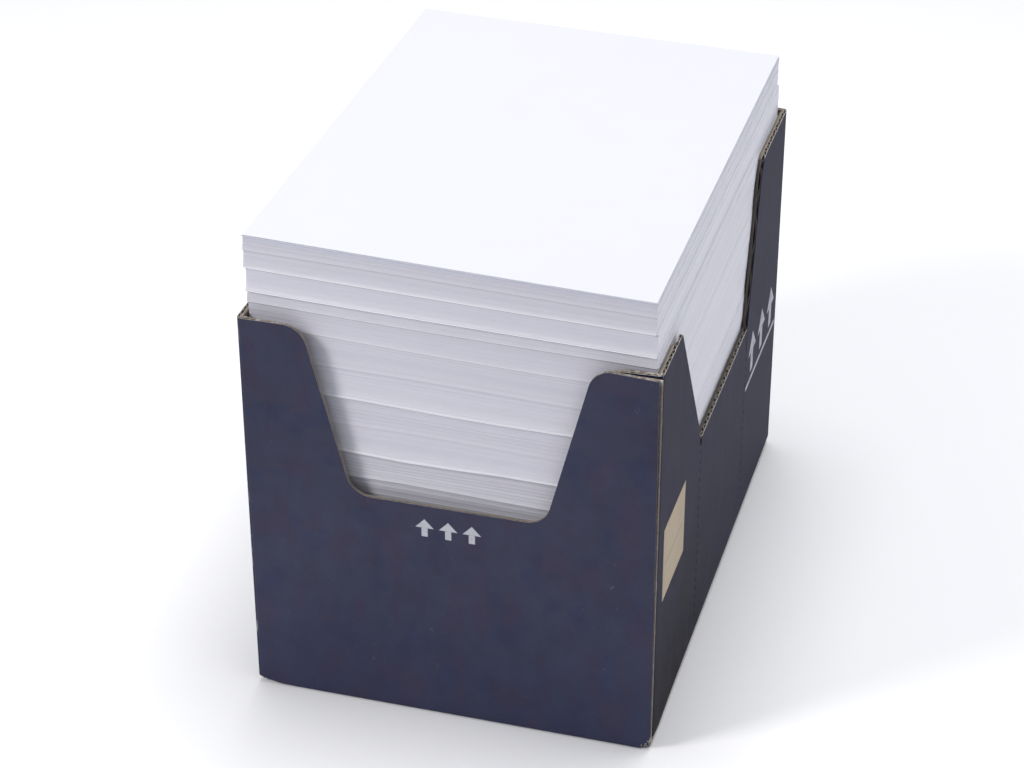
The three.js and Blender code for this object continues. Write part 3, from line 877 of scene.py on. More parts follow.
@dataclass
class Carton:
    """The carton: one die-cut blank of corrugated board, folded up and glued at a front corner."""

    board: float = 3.2
    liner: float = 0.3
    inner_liner: float = 1.4
    fluted: float = 0.26
    flute_fill: float = 0.42
    inner_set_back: float = 11.0
    end_trim: float = 1.2
    end_drop: float = 1.3
    edge_pinch: float = 0.45
    nick_heights: tuple[float, ...] = (215.0, 190.0, 161.0, 129.0, 104.0, 63.0, 53.0)
    flute_pitch: float = 7.8
    fold_radius: float = 2.4
    opening_depth: float = 95.0
    opening_lean: float = 24.0
    scoop_floor: float = 102.0
    scoop_radius: float = 13.0
    front_land: float = 45.0
    side_slant: float = 56.5
    side_floor: float = 119.5
    side_top_radius: float = 14.0
    notch_radius: float = 1.6
    notch_depth: float = 4.5
    glue_flap: float = 33.0
    seam: float = 0.3
    slit_length: float = 3.2
    slit_pitch: float = 5.9
    slit_width: float = 1.1
    long_slit: float = 13.0
    tear_line_foot: float = 14.0
    glued_foot: Knock = Knock(8.0, 6.0, 10.0, 0.92)
    other_foot: Knock = Knock(-19.0, 5.0, 4.8, 0.8)
    fold_pinch: float = 0.32
    foot_pinch: float = 0.34
    end_pinch: float = 0.25
    land_pinch: float = 0.3
    pinch_reach: float = 5.0
    front_bow: float = 0.35
    left_bow: float = 0.4
    right_share: float = 0.6
    # Reaches of the painted shade on cut edges: beside the slits, on the inner sheet's floor edges and along
    # the rear edges of the side openings.
    slit_reach: float = 2.2
    floor_reach: float = 1.5
    rear_reach: float = 4.6
    rim: float = 0.5
    # Strength of the painted shade on the edges of the openings.
    edge_shade: float = 0.6
    end_waves: tuple[float, ...] = (0.1, 0.3, 0.15, 0.4, 0.3, 0.62, 0.5, 0.85, 0.7, 0.95)
    panels: list[Panel] = field(default_factory=list)

    def __post_init__(self) -> None:
        """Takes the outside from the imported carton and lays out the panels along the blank."""
        low, high = node_box("carton")
        self.left, self.front = low[:2]
        self.right, self.back, self.height = high
        r = self.fold_radius
        self.arc = r * math.pi / 2
        width, depth = self.right - self.left, self.back - self.front
        joint = self.front + self.board
        stretches = [
            ("glue", self.glue_flap - r, (self.right - self.glue_flap, joint), (1, 0), 0.0),
            ("right", depth - self.board - 2 * r, (self.right, joint + r), (0, 1), self.board),
            ("back", width - 2 * r, (self.right - r, self.back), (-1, 0), 0.0),
            ("left", depth - 2 * r, (self.left, self.back - r), (0, -1), self.board),
            ("front", width - r, (self.left + r, self.front), (1, 0), 0.0),
        ]
        start = 0.0
        for name, length, origin, heading, foot in stretches:
            self.panels.append(Panel(name, start, length, origin, heading, foot))
            start += length + self.arc
        self.end = start - self.arc

    def panel(self, name: str) -> Panel:
        """Gives a panel by its name."""
        return next(panel for panel in self.panels if panel.name == name)

    def on_wall(self, name: str, place: float) -> float:
        """Gives how far along the blank a place on a wall lies.

        Args:
            name: The wall's name.
            place: x on the front and back walls, y on the side walls.

        Returns:
            The distance along the blank.
        """
        panel = self.panel(name)
        axis = 0 if panel.heading[0] else 1
        return panel.start + (place - panel.origin[axis]) * panel.heading[axis]

    def fold_places(self) -> list[float]:
        """Gives where the middles of the four upright folds are along the blank."""
        return [panel.start + panel.length + self.arc / 2 for panel in self.panels[:-1]]

    def opening_floor(self) -> float:
        """Gives the height of the floor of the scoop and the side openings."""
        return self.height - self.opening_depth

    def side_lines(self) -> Point:
        """Gives the y of the front and of the rear end of the side openings' floor."""
        front = self.front + self.front_land + self.side_slant
        return front, front + self.side_floor

    def outline(self, end_trim: float) -> Outline:
        """Lays out the whole blank, before its openings are cut.

        Args:
            end_trim: How far the sheet falls short of the front wall's raw end, at its top.

        Returns:
            The outline, anticlockwise.
        """
        r, arc = self.fold_radius, self.arc
        half_depth = (self.back - self.front) / 2 - self.seam
        half_width = (self.right - self.left) / 2 - self.seam
        clear = 2 * self.board + 1
        glue_fold = self.panel("glue").length + arc / 2
        points = [(0.0, clear + 12), (4.0, clear), (glue_fold, clear)]
        for panel in self.panels[1:]:
            reach = half_width if panel.foot else half_depth
            set_in = self.board + 1 if panel.foot else 0.3
            corner_foot, bend_end = panel.foot + r, panel.foot + r - arc
            tip = bend_end - (reach - r)
            wall_end = panel.start + panel.length
            first, last = panel.start + set_in, wall_end - set_in
            points += [(panel.start, corner_foot), (first, corner_foot), (first, bend_end)]
            points += [(first + 2, tip), (last - 2, tip)]
            points += [(last, bend_end), (last, corner_foot), (wall_end, corner_foot)]
        points[-1] = (self.end - 0.05 * end_trim, corner_foot)
        for k, share in enumerate(self.end_waves):
            up = corner_foot + 8 + k * (self.height - 24) / len(self.end_waves)
            points.append((self.end - share * end_trim, up))
        points += [(self.end - end_trim, self.height - self.end_drop), (self.end - 34, self.height)]
        points += [(glue_fold, self.height), (12.0, self.height - 0.8)]
        points += [(4.0, self.height - 5), (0.0, self.height - 14)]
        return [(float(s), float(t)) for s, t in points]

    def cutters(self, set_back: float = 0.0) -> list[Outline]:
        """Lays out the scoop, the side openings, their notches and the slits of the tear-off lines.

        Args:
            set_back: How much shorter than the outer sheet's the front lands of the side walls are.

        Returns:
            The outlines of all cuts on the flat blank.
        """
        past, top = 10.0, self.height + 0.05
        floor = self.opening_floor()
        half = self.scoop_floor / 2
        mouth = half + self.opening_lean
        flare = mouth + 2 * self.scoop_radius
        scoop = rounded([
            (-half, floor, self.scoop_radius), (half, floor, self.scoop_radius),
            (mouth, top, self.scoop_radius), (flare, top), (flare, top + past), (-flare, top + past),
            (-flare, top), (-mouth, top, self.scoop_radius),
        ])
        centre = (self.left + self.right) / 2
        cuts = [[(self.on_wall("front", x + centre), z) for x, z in scoop]]
        floor_front, floor_back = self.side_lines()
        rear, rear_radius = floor_back + self.opening_lean, self.side_top_radius
        slant = self.side_slant + set_back
        run = slant + past * slant / self.opening_depth
        opening = rounded([
            (floor_front, floor), (floor_back, floor, 1.2), (rear, top, rear_radius),
            (rear + 2 * rear_radius, top), (rear + 2 * rear_radius, top + past),
            (floor_front - run, self.height + past),
        ])
        foot, width = floor - self.notch_depth, self.notch_radius
        nearly_half_round = width * 0.99
        notch = rounded([
            (floor_front - width, foot, nearly_half_round), (floor_front + width, foot, nearly_half_round),
            (floor_front + width, floor + 1), (floor_front - 3 * width, floor + 1 + 3 * width),
        ])
        for wall in ("right", "left"):
            for shape in (opening, notch, *self.slits(floor_front, floor_back)):
                cuts.append([(self.on_wall(wall, y), z) for y, z in shape])
        return cuts

    def slits(self, front_line: float, rear_line: float) -> list[Outline]:
        """Lays out the slits of both tear-off lines of a side wall.

        Args:
            front_line: The y of the front line.
            rear_line: The y of the rear line.

        Returns:
            The slits, each a four-cornered outline.
        """
        half = self.slit_width / 2
        bridge = self.slit_pitch - self.slit_length
        front_top = self.opening_floor() - self.notch_depth - bridge
        rear_top = self.opening_floor() - bridge
        lines = ((front_line, front_top, self.slit_length), (rear_line, rear_top, self.long_slit))
        made = []
        for y, top, length in lines:
            while top - length > self.tear_line_foot:
                foot = top - length
                made.append([(y - half, foot), (y + half, foot), (y + half, top), (y - half, top)])
                top -= length + bridge
                length = self.slit_length
        return made

    def crease_lines(self, column: float) -> list[tuple[Point, Point]]:
        """Gives the lines along which a flat sheet needs points, so that it can fold and be crushed.

        Args:
            column: The distance between two upright lines.

        Returns:
            The lines, each as two points.
        """
        arc = self.arc
        low, high = -170.0, self.height + 5
        places = list(np.arange(column, self.end, column))
        for panel in self.panels[:-1]:
            bend = panel.start + panel.length
            places = [s for s in places if not bend - 0.4 < s < bend + arc + 0.4]
            places += [bend + arc * k / 4 for k in range(5)]
        lines = [((s, low), (s, high)) for s in sorted(places)]
        for panel in self.panels[1:]:
            first, last = panel.start - 0.2, panel.start + panel.length + 0.2
            for k in range(5):
                t = panel.foot + self.fold_radius - arc * k / 4
                lines.append(((first, t), (last, t)))
        right, front = self.panel("right").start, self.panel("front").start
        for near, far in ((self.end - 16, self.end), (right - 5, right + 12)):
            lines += [((near, t), (far, t)) for t in np.arange(4.2, 15, 1.7)]
            lines += [((s, 0.4), (s, 16.0)) for s in np.arange(near, far, 1.3)]
        lines += [((front - 0.1, t), (front + 24, t)) for t in (3.2, 4.6, 6.2)]
        for t in (self.height - 2.0, self.height - 5.0):
            lines.append(((self.end - 40, t), (self.end, t)))
        return lines

    def flat_sheet(self, column: float, end_trim: float,
                   set_back: float = 0.0) -> tuple[np.ndarray, list[Face]]:
        """Cuts one sheet of the board flat, with its openings.

        Args:
            column: The distance between two upright lines of points.
            end_trim: How far the sheet falls short of the raw end.
            set_back: How much shorter the front lands of the side walls are.

        Returns:
            The points, and the triangles between them, anticlockwise.
        """
        points, edges = [], []
        outline, cuts = self.outline(end_trim), self.cutters(set_back)
        for loop in (outline, *cuts):
            first = len(points)
            points += [Vector(p) for p in loop]
            edges += [(first + i, first + (i + 1) % len(loop)) for i in range(len(loop))]
        for a, b in self.crease_lines(column):
            edges.append((len(points), len(points) + 1))
            points += [Vector(a), Vector(b)]
        made = delaunay_2d_cdt(points, edges, [], 0, 1e-4)
        places = np.array([tuple(p) for p in made[0]])
        corners = np.array([tuple(face) for face in made[2]])
        middles = places[corners].mean(axis=1)
        kept = inside(middles, outline)
        for cut in cuts:
            kept &= ~inside(middles, cut)
        corners = corners[kept]
        a, b, c = (places[corners[:, k]] for k in range(3))
        area = (b[:, 0] - a[:, 0]) * (c[:, 1] - a[:, 1]) - (b[:, 1] - a[:, 1]) * (c[:, 0] - a[:, 0])
        corners[area < 0] = corners[area < 0][:, ::-1]
        used, numbers = np.unique(corners, return_inverse=True)
        return places[used], [tuple(row) for row in numbers.reshape(-1, 3)]

    def rubbed_rim(self, points: np.ndarray,
                   faces: list[Face]) -> tuple[np.ndarray, list[Face], np.ndarray]:
        """Adds a narrow rim along every cut edge of a flat sheet, for the wear there.

        Args:
            points: The points of the sheet.
            faces: Its faces.

        Returns:
            The new points and faces, and 1 for each point on a cut edge.
        """
        mesh = bmesh.new()
        corners = [mesh.verts.new((*p, 0.0)) for p in points]
        for face in faces:
            mesh.faces.new([corners[i] for i in face])
        bmesh.ops.inset_region(mesh, faces=mesh.faces[:], thickness=self.rim,
                               use_boundary=True, use_even_offset=True)
        mesh.verts.index_update()
        places = np.array([tuple(v.co.xy) for v in mesh.verts])
        faces = [tuple(v.index for v in face.verts) for face in mesh.faces]
        rim = np.array([float(v.is_boundary) for v in mesh.verts])
        mesh.free()
        return places, faces, rim

    def plan(self, along: np.ndarray) -> tuple[np.ndarray, np.ndarray, np.ndarray, np.ndarray]:
        """Follows the folded blank from above.

        Args:
            along: Distances along the blank.

        Returns:
            The points of the outer face, the way out from each, the height of each one's bottom fold,
            and whether it lies on a straight stretch.
        """
        count = len(along)
        places, ways = np.zeros((count, 2)), np.zeros((count, 2))
        feet, straight = np.zeros(count), np.zeros(count, bool)
        for i, panel in enumerate(self.panels):
            heading = np.array(panel.heading, float)
            out = np.array([heading[1], -heading[0]])
            travel = along - panel.start
            last = i == len(self.panels) - 1
            here = (travel >= -1e-6) & ((travel <= panel.length + 1e-6) | last)
            here |= (along < 0) & (i == 0)
            places[here] = np.array(panel.origin) + travel[here, None] * heading
            ways[here], feet[here], straight[here] = out, panel.foot, True
            if last:
                continue
            turn = (travel - panel.length) / self.fold_radius
            bend = (turn > 1e-6) & (turn < math.pi / 2 - 1e-6)
            middle = np.array(panel.origin) + panel.length * heading - out * self.fold_radius
            way = np.cos(turn[bend])[:, None] * out + np.sin(turn[bend])[:, None] * heading
            places[bend], ways[bend] = middle + way * self.fold_radius, way
        return places, ways, feet, straight

    def squeeze(self, flat: np.ndarray, feet: np.ndarray) -> np.ndarray:
        """Tells how thin the board is pressed: at folds, raw end, scoop and handled top corner.

        Args:
            flat: Places on the flat blank.
            feet: The height of the bottom fold below each.

        Returns:
            The share of the full thickness that is left.
        """
        def near(distance: np.ndarray, reach: float) -> np.ndarray:
            """Gives 1 on a line and 0 from reach on, smoothly."""
            return eased(np.clip(1 - np.abs(distance) / reach, 0, 1))

        along, up, reach = flat[:, 0], flat[:, 1], self.pinch_reach
        thin = np.zeros(len(flat))
        for place in self.fold_places():
            thin = np.maximum(thin, self.fold_pinch * near(along - place, reach))
        fold_height = feet + self.fold_radius - self.arc / 2
        thin = np.maximum(thin, self.foot_pinch * near(up - fold_height, reach))
        thin = np.maximum(thin, self.end_pinch * near(along - self.end, reach / 2))
        scoop = self.cutters()[0]
        thin = np.maximum(thin, self.edge_pinch * near(distance_to(flat, scoop), reach))
        land = (along > self.end - 26) & (along <= self.end + 1)
        thin = np.maximum(thin, np.where(land, self.land_pinch * near(up - self.height, 6.0), 0))
        return 1 - thin

    def edge_shade_share(self, flat: np.ndarray, inner: bool = False) -> np.ndarray:
        """Gives the painted shade on the cut edges: beside the slits, along the rear edges of the side
        openings and, on the inner sheet, along their floors.

        Args:
            flat: Places on the flat blank.
            inner: Whether the sheet is the inner one, whose level edges take painted shade too.

        Returns:
            1 beside a slit, less on a shaded edge of an opening, and 0 elsewhere.
        """
        dark = np.zeros(len(flat))
        floor = self.opening_floor()
        floor_front, floor_back = self.side_lines()
        rear = floor_back + self.opening_lean
        for wall in ("right", "left"):
            start, end, top = (self.on_wall(wall, y) for y in (floor_front, floor_back, rear))
            if inner:
                dark[distance_to(flat, [(start, floor), (end, floor)]) < self.floor_reach] = self.edge_shade
            rear_edge = [(end, floor + 2), (top, self.height)]
            dark[distance_to(flat, rear_edge) < self.rear_reach] = self.edge_shade
            for line in (start, end):
                dark[(np.abs(flat[:, 0] - line) < self.slit_reach) & (flat[:, 1] < floor - 0.4)] = 1
        return dark

    def wear_and_edge_shade(self, flat: np.ndarray, inner: bool = False) -> np.ndarray:
        """Gives the wear of bare board, rubbed pale above 0, and the painted shade on shaded opening edges
        and beside the slits below 0.

        Args:
            flat: Places on the flat blank.
            inner: Whether the sheet is the inner one.

        Returns:
            The wear or painted shade of each place, from -1 to 1.
        """
        along, up = flat[:, 0], flat[:, 1]
        top = np.clip((up - self.height + 7) / 6, 0, 1)
        front = along > self.panel("front").start - 4
        flap = along < self.panel("glue").length + 4
        end = np.clip((along - self.end + 4) / 4, 0, 1)
        nicked = np.full(len(flat), 0.22)
        for place in self.nick_heights:
            nicked = np.maximum(nicked, np.clip(1.6 - np.abs(up - place) / 1.4, 0, 1))
        foot = np.clip((14 - up) / 8, 0, 1) * (along > self.end - 12) * (up > -1)
        pale = np.maximum.reduce([np.where(front | flap, top, 0), end * nicked, foot])
        dark = self.edge_shade_share(flat, inner)
        return np.where(dark > 0, -dark, pale)

    def place(self, flat: np.ndarray, depth: np.ndarray) -> np.ndarray:
        """Folds flat places up to where they lie on the carton.

        Args:
            flat: Places on the flat blank, as (along, up).
            depth: How deep each lies below the outer face.

        Returns:
            The points of the folded carton.
        """
        plan, ways, feet, straight = self.plan(flat[:, 0])
        depth = depth * self.squeeze(flat, feet)
        r = self.fold_radius
        below = feet + r - flat[:, 1]
        folds = straight & (below > 0)
        turn = np.clip(below / r, 0, math.pi / 2)
        past = np.maximum(below - self.arc, 0)
        inward = np.where(folds, r - (r - depth) * np.cos(turn) + past, depth)
        height = np.where(folds, feet + r - (r - depth) * np.sin(turn), flat[:, 1])
        points = np.column_stack([plan - ways * inward[:, None], height])
        return self.crushed(self.bowed(points, flat))

    def bowed(self, points: np.ndarray, flat: np.ndarray) -> np.ndarray:
        """Bends the walls a little inwards, as the free edges of used board do.

        Args:
            points: The points of the folded carton.
            flat: Their places on the flat blank.

        Returns:
            The bent points.
        """
        made = points.copy()
        up = np.clip(flat[:, 1] / self.height, 0, 1) ** 2
        middle_y = (self.front + self.back) / 2
        half_depth = (self.back - self.front) / 2
        front_wall = flat[:, 0] > self.panel("front").start - 1
        across = np.clip((made[:, 0] - self.left) / (self.right - self.left), 0, 1)
        made[:, 1] += np.where(front_wall, self.front_bow * up * np.sin(math.pi * across), 0)
        bow = self.left_bow * up * np.clip(1 - ((made[:, 1] - middle_y) / half_depth) ** 2, 0, 1)
        made[:, 0] += np.where(made[:, 0] < self.left + 8, bow, 0)
        made[:, 0] -= np.where(made[:, 0] > self.right - 8, self.right_share * bow, 0)
        return made

    def crushed(self, points: np.ndarray) -> np.ndarray:
        """Presses in the foot of the glued corner and the foot of the other front corner.

        Args:
            points: The points of the folded carton.

        Returns:
            The pressed points.
        """
        made = points.copy()
        for x, knock in ((self.right, self.glued_foot), (self.left, self.other_foot)):
            away = np.array([1 / knock.along_x, -1 / knock.along_y, -1 / knock.up])
            ahead = (made - np.array((x, self.front, 0))) @ away + 1
            length = np.linalg.norm(away)
            waves = 1 + 0.25 * np.sin(made[:, 0] * 2.1) * np.cos(made[:, 2] * 1.7 + made[:, 1])
            push = np.where(ahead > 0, ahead / length * knock.share * waves, 0)
            made -= push[:, None] * (away / length)
        made[:, 2] = np.maximum(made[:, 2], 0.02)
        return made

    def thicken(self, sheet: Board, flat: np.ndarray, faces: list[Face],
                depths: tuple[np.ndarray, np.ndarray], materials: list[bpy.types.Material],
                wear_and_shade: np.ndarray) -> bpy.types.Object:
        """Gives a flat sheet its thickness and folds it up.

        Args:
            sheet: Which sheet of the board it is.
            flat: The sheet's points on the flat blank.
            faces: Its faces, anticlockwise.
            depths: The depth of its outer and of its inner side at each point.
            materials: The finish of the outer side, and that of the rest.
            wear_and_shade: The wear of each point, rubbed pale above 0, and painted shade below 0.

        Returns:
            The folded sheet.
        """
        count = len(flat)
        name = f"carton_{sheet.value}"
        points = np.vstack([self.place(flat, depths[0]), self.place(flat, depths[1])])
        edges = dict.fromkeys((a, b) for face in faces for a, b in zip(face, face[1:] + face[:1]))
        sides = [(b, a, a + count, b + count) for a, b in edges if (b, a) not in edges]
        backs = [tuple(i + count for i in reversed(face)) for face in faces]
        mesh = bpy.data.meshes.new(name)
        mesh.from_pydata((points * MM).tolist(), [], [*faces, *backs, *sides])
        for material in materials:
            mesh.materials.append(material)
        numbers = np.zeros(len(mesh.polygons), np.int32)
        numbers[len(faces):] = len(materials) - 1
        # Cut edges under painted shade, such as the slits' walls and the rear edges of the side openings,
        # take the dark printed finish.
        dark = np.array([wear_and_shade[side[0]] < 0 for side in sides])
        numbers[len(faces) + len(backs):][dark] = 0
        mesh.polygons.foreach_set("material_index", numbers)
        lay_uv(mesh, "blank", np.vstack([flat, flat]) * MM)
        keep_values(mesh, "rub_and_shade", np.concatenate([wear_and_shade, wear_and_shade]))
        keep_values(mesh, "across", np.repeat([0.0, 1.0], count))
        mesh.validate()
        return link(name, mesh)

    def build(self) -> list[bpy.types.Object]:
        """Makes the board's three sheets and folds them up.

        Returns:
            The printed liner, the fluted sheet and the kraft liner.
        """
        printed, white = PrintedFinish().build(self), WHITE_BACK.build(self)
        kraft, fluted = INNER_KRAFT.build(self), FLUTE_KRAFT.build(self)

        flat, faces, rim = self.rubbed_rim(*self.flat_sheet(self.flute_pitch, self.end_trim))
        # Painted shade on shaded cut edges, and pale wear on the rest of the rim.
        dark = self.edge_shade_share(flat)
        wear_and_shade = np.where(dark > 0, -dark, rim)
        depths = (np.zeros(len(flat)), np.full(len(flat), self.liner))
        outer = self.thicken(Board.PRINTED, flat, faces, depths, [printed, white], wear_and_shade)

        flat, faces = self.flat_sheet(self.flute_pitch, 0.0, self.inner_set_back)
        deep = np.full(len(flat), self.board)
        depths = (deep - self.inner_liner, deep)
        inner = self.thicken(Board.KRAFT, flat, faces, depths, [kraft], self.wear_and_edge_shade(flat, True))

        flat, faces = self.flat_sheet(self.flute_pitch / 8, 0.2)
        swing = (self.board - self.liner - self.inner_liner - self.fluted) / 2
        centre = (self.liner + self.board - self.inner_liner) / 2
        turn = 2 * math.pi * flat[:, 0] / self.flute_pitch
        middle = centre + swing * np.sin(turn)
        half = self.fluted / 2 + self.flute_fill * np.cos(turn) ** 4
        depths = (middle - half, middle + half)
        core = self.thicken(Board.FLUTED, flat, faces, depths, [fluted], self.wear_and_edge_shade(flat))
        for made in (outer, inner, core):
            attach(made, ROOT)
        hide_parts("carton")
        return [outer, core, inner]


# The paper


@dataclass(frozen=True)
class Bundle:
    """A bundle of folds that lie together, from its foot up."""

    height: float
    front: float
    back: float
    side: float
    wave: float
    waves: float
    shade: float


@dataclass
class FormStack:
    """The web of forms, folded to and fro, and the form on top."""

    width: float = 210.0
    depth: float = 297.0
    height: float = 259.8
    foot: float = 6.7
    standout: float = 1.5
    lip: float = 2.4
    side_stagger: float = 0.4
    top_shift: float = -1.25
    top_stagger: float = 0.75
    wave_shift: float = 0.37
    shift_left: float = 0.8
    sag: float = 0.8
    leaf: float = 0.52
    nose: float = 0.14
    jitter: float = 0.035
    points_across: int = 9
    points_along: int = 3
    top_form: float = 0.14
    top_longer: float = 1.0
    top_nudge: Point = (0.1, -0.3)
    top_curl: tuple[float, float, float] = (0.05, 0.22, 0.2)
    slide_from: float = 212.0
    slide_over: float = 48.0
    free_from: float = 222.0
    free_over: float = 6.0
    lip_share: float = 0.72
    slope_share: float = 0.28
    drift: float = 0.07
    near_light: Span = (1.3, 1.0)
    far_light: Span = (0.5, 4.8)
    under_shade: Span = (1.1, 0.55)
    seed: int = 7
    tilt: tuple[float, float, float, float] = (4.2, -1.6, 0.6, -3.2)
    bundles: tuple[Bundle, ...] = (
        Bundle(0, 0.4, 0.3, 0.2, 0, 1, 0.5),
        Bundle(24, 0.8, 0.5, -0.5, 0.4, 1.2, 0.4),
        Bundle(47, 0.5, 0.9, 0.6, 0.5, 2.1, 0.35),
        Bundle(72, 0.9, 0.4, -0.2, 0.5, 1.6, 0.45),
        Bundle(96, 0.6, 0.8, 0.5, 0.6, 2.4, 0.4),
        Bundle(113, 0.7, 0.5, 0.1, 0.5, 1.8, 0.3),
        Bundle(130.4, 0.75, 0.7, 0.8, 0.6, 1.3, 0.34),
        Bundle(145, 1.1, 0.5, -0.3, 0.8, 1.7, 0.06),
        Bundle(161, 0.25, 0.9, 0.4, 0.5, 1.4, 0.1),
        Bundle(175.9, 1.0, 0.6, 0.9, 0.5, 1.3, 0.02),
        Bundle(193, 0.3, 0.4, 0.1, 0.4, 1.2, 0.05),
        Bundle(209.5, 0.45, 0.8, 0.7, 0.9, 0.6, 0.08),
        Bundle(222.3, 0.7, 0.5, -0.4, 0.3, 0.9, 0.12),
        Bundle(229.1, 1.15, 0.9, 0.5, 0.2, 0.8, 0.03),
        Bundle(241.4, 0.85, 0.6, -0.8, 0.2, 0.7, 0.1),
        Bundle(250.8, 0.35, 0.7, -0.2, 0.15, 1, 0.16),
        Bundle(258.4, 0.3, 0.4, -0.1, 0.1, 1, 0.05),
    )

    def __post_init__(self) -> None:
        """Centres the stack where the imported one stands."""
        low, high = node_box("carton")
        self.centre_x = (low[0] + high[0]) / 2

    def each(self, name: str) -> np.ndarray:
        """Gives one value of every bundle, from the foot up."""
        return np.array([getattr(bundle, name) for bundle in self.bundles])

    def bundle_at(self, heights: np.ndarray) -> tuple[np.ndarray, np.ndarray, np.ndarray]:
        """Finds the bundle that each height lies in.

        Args:
            heights: Heights in the level stack.

        Returns:
            The number of each one's bundle, and the heights of that bundle's foot and top.
        """
        feet = self.each("height")
        tops = np.append(feet[1:], self.height)
        which = np.clip(np.searchsorted(feet, heights, side="right") - 1, 0, len(feet) - 1)
        return which, feet[which], tops[which]

    def leaf_heights(self) -> tuple[np.ndarray, np.ndarray]:
        """Cuts the stack into leaves of uneven thickness.

        Returns:
            The middle height and the thickness of each leaf, from the foot up.
        """
        random = np.random.default_rng(self.seed)
        thick = self.leaf * random.uniform(0.6, 1.5, int(self.height / self.leaf))
        thick *= (self.height - 0.8) / thick.sum()
        tops = np.cumsum(thick)
        return tops - thick / 2, thick

    def lean_left(self, height: np.ndarray) -> np.ndarray:
        """Gives how far the paper above the carton has slid sideways."""
        share = np.clip((height - self.slide_from) / self.slide_over, 0, 1)
        return self.top_shift * eased(share)

    def leaf_points(self) -> bpy.types.Object:
        """Makes one point for each leaf, which keeps the leaf's size.

        Returns:
            The points, as an object that the tree of the leaves can work on.
        """
        random = np.random.default_rng(self.seed + 1)
        middles, thick = self.leaf_heights()
        which, foot, top = self.bundle_at(middles)
        share = (middles - foot) / (top - foot)
        fade = self.lip_share * np.exp(-(middles - foot) / self.lip) + self.slope_share * (1 - share)
        knots = np.arange(0, 270, 2.3)
        slow = np.interp(middles, knots, random.uniform(-1, 1, len(knots))) * self.drift
        front = self.each("front")[which] * fade + slow
        back = self.each("back")[which] * fade - slow
        side = self.each("side")[which] * (1 - (1 - self.shift_left) * share)
        free = np.clip((middles - self.free_from) / self.free_over, 0, 1)
        hooks = free * self.top_stagger * (0.5 - fade)
        places = np.column_stack([
            self.centre_x + self.side_stagger * side + hooks + self.lean_left(middles),
            (back - front) * self.standout / 2,
            middles,
        ])
        scale = np.column_stack([
            np.ones(len(middles)),
            1 + (front + back) * self.standout / self.depth,
            thick / self.leaf,
        ])
        mesh = bpy.data.meshes.new("leaf_points")
        mesh.from_pydata((places * MM).tolist(), [], [])
        keep_values(mesh, "leaf_size", scale, "FLOAT_VECTOR")
        return link("form_leaves", mesh)

    def leaf_tree(self) -> bpy.types.GeometryNodeTree:
        """Builds the tree that lays a folded leaf on every point.

        Returns:
            The tree, with named inputs for the sizes, the seed and the finish.
        """
        tree = bpy.data.node_groups.new("fan_folded_leaves", "GeometryNodeTree")
        face = tree.interface
        face.new_socket(name="Points", in_out="INPUT", socket_type="NodeSocketGeometry")
        for name in ("Sheet Width", "Sheet Depth", "Leaf Thickness", "Fold Nose", "Jitter"):
            face.new_socket(name=name, in_out="INPUT", socket_type="NodeSocketFloat")
        for name in ("Points Across", "Points Along", "Seed"):
            face.new_socket(name=name, in_out="INPUT", socket_type="NodeSocketInt")
        face.new_socket(name="Paper", in_out="INPUT", socket_type="NodeSocketMaterial")
        face.new_socket(name="Leaves", in_out="OUTPUT", socket_type="NodeSocketGeometry")
        bench = Bench(tree)
        given = bench.node("NodeGroupInput").outputs
        slab = bench.node("GeometryNodeMeshCube", {
            "Size": bench.joined(given["Sheet Width"], given["Sheet Depth"], given["Leaf Thickness"]),
            "Vertices X": given["Points Across"], "Vertices Y": given["Points Along"], "Vertices Z": 3})
        _, y, z = bench.parts(bench.node("GeometryNodeInputPosition").outputs[0])
        edge = bench.minus(bench.times(given["Sheet Depth"], 0.5), 1e-5)
        on_fold = bench.math("GREATER_THAN", bench.absolute(y), edge)
        on_middle = bench.math("LESS_THAN", bench.absolute(z), 1e-6)
        reach = bench.times(bench.math("SIGN", y), given["Fold Nose"])
        nose = bench.joined(y=bench.times(reach, bench.times(on_fold, on_middle)))
        leaf = bench.node("GeometryNodeSetPosition", {"Geometry": slab.outputs["Mesh"], "Offset": nose})

        low, high = bench.times(given["Jitter"], -1.0), given["Jitter"]
        spread = {0: bench.joined(low, low), 1: bench.joined(high, high), "Seed": given["Seed"]}
        shake = bench.node("FunctionNodeRandomValue", spread, data_type="FLOAT_VECTOR").outputs[0]
        laid = bench.node("GeometryNodeSetPosition", {"Geometry": given["Points"], "Offset": shake})
        size = bench.node("GeometryNodeInputNamedAttribute", {"Name": "leaf_size"}, data_type="FLOAT_VECTOR")
        leaves = bench.node("GeometryNodeInstanceOnPoints", {
            "Points": laid.outputs[0], "Instance": leaf.outputs[0], "Scale": size.outputs[0]})
        solid = bench.node("GeometryNodeRealizeInstances", {0: leaves.outputs[0]})
        dress = {"Geometry": solid.outputs[0], "Material": given["Paper"]}
        dressed = bench.node("GeometryNodeSetMaterial", dress)
        bench.feed(bench.node("NodeGroupOutput").inputs[0], dressed.outputs[0])
        return tree

    def settle(self, points: np.ndarray, lift: np.ndarray | float = 0.0) -> np.ndarray:
        """Tilts, waves and sags level paper to how the stack lies.

        Args:
            points: Points of the level paper, with z from the foot of the stack.
            lift: How far each is lifted above the paper below.

        Returns:
            The points where they lie.
        """
        across = (points[:, 0] - self.centre_x) / self.width + 0.5
        along = points[:, 1] / self.depth + 0.5
        height = points[:, 2]
        which, foot, top = self.bundle_at(height)
        share = np.clip((height - foot) / (top - foot), 0, 1)

        def wave(index: int) -> np.ndarray:
            """Gives the wave of a bundle's foot, which is level past the last bundle.

            Args:
                index: The bundle's number.

            Returns:
                How far the foot rises above its level at each point.
            """
            if index == len(self.bundles):
                return np.zeros(len(points))
            bundle = self.bundles[index]
            turn = 2 * math.pi * bundle.waves * (across + self.wave_shift * along) + bundle.height
            return bundle.wave * np.sin(turn)

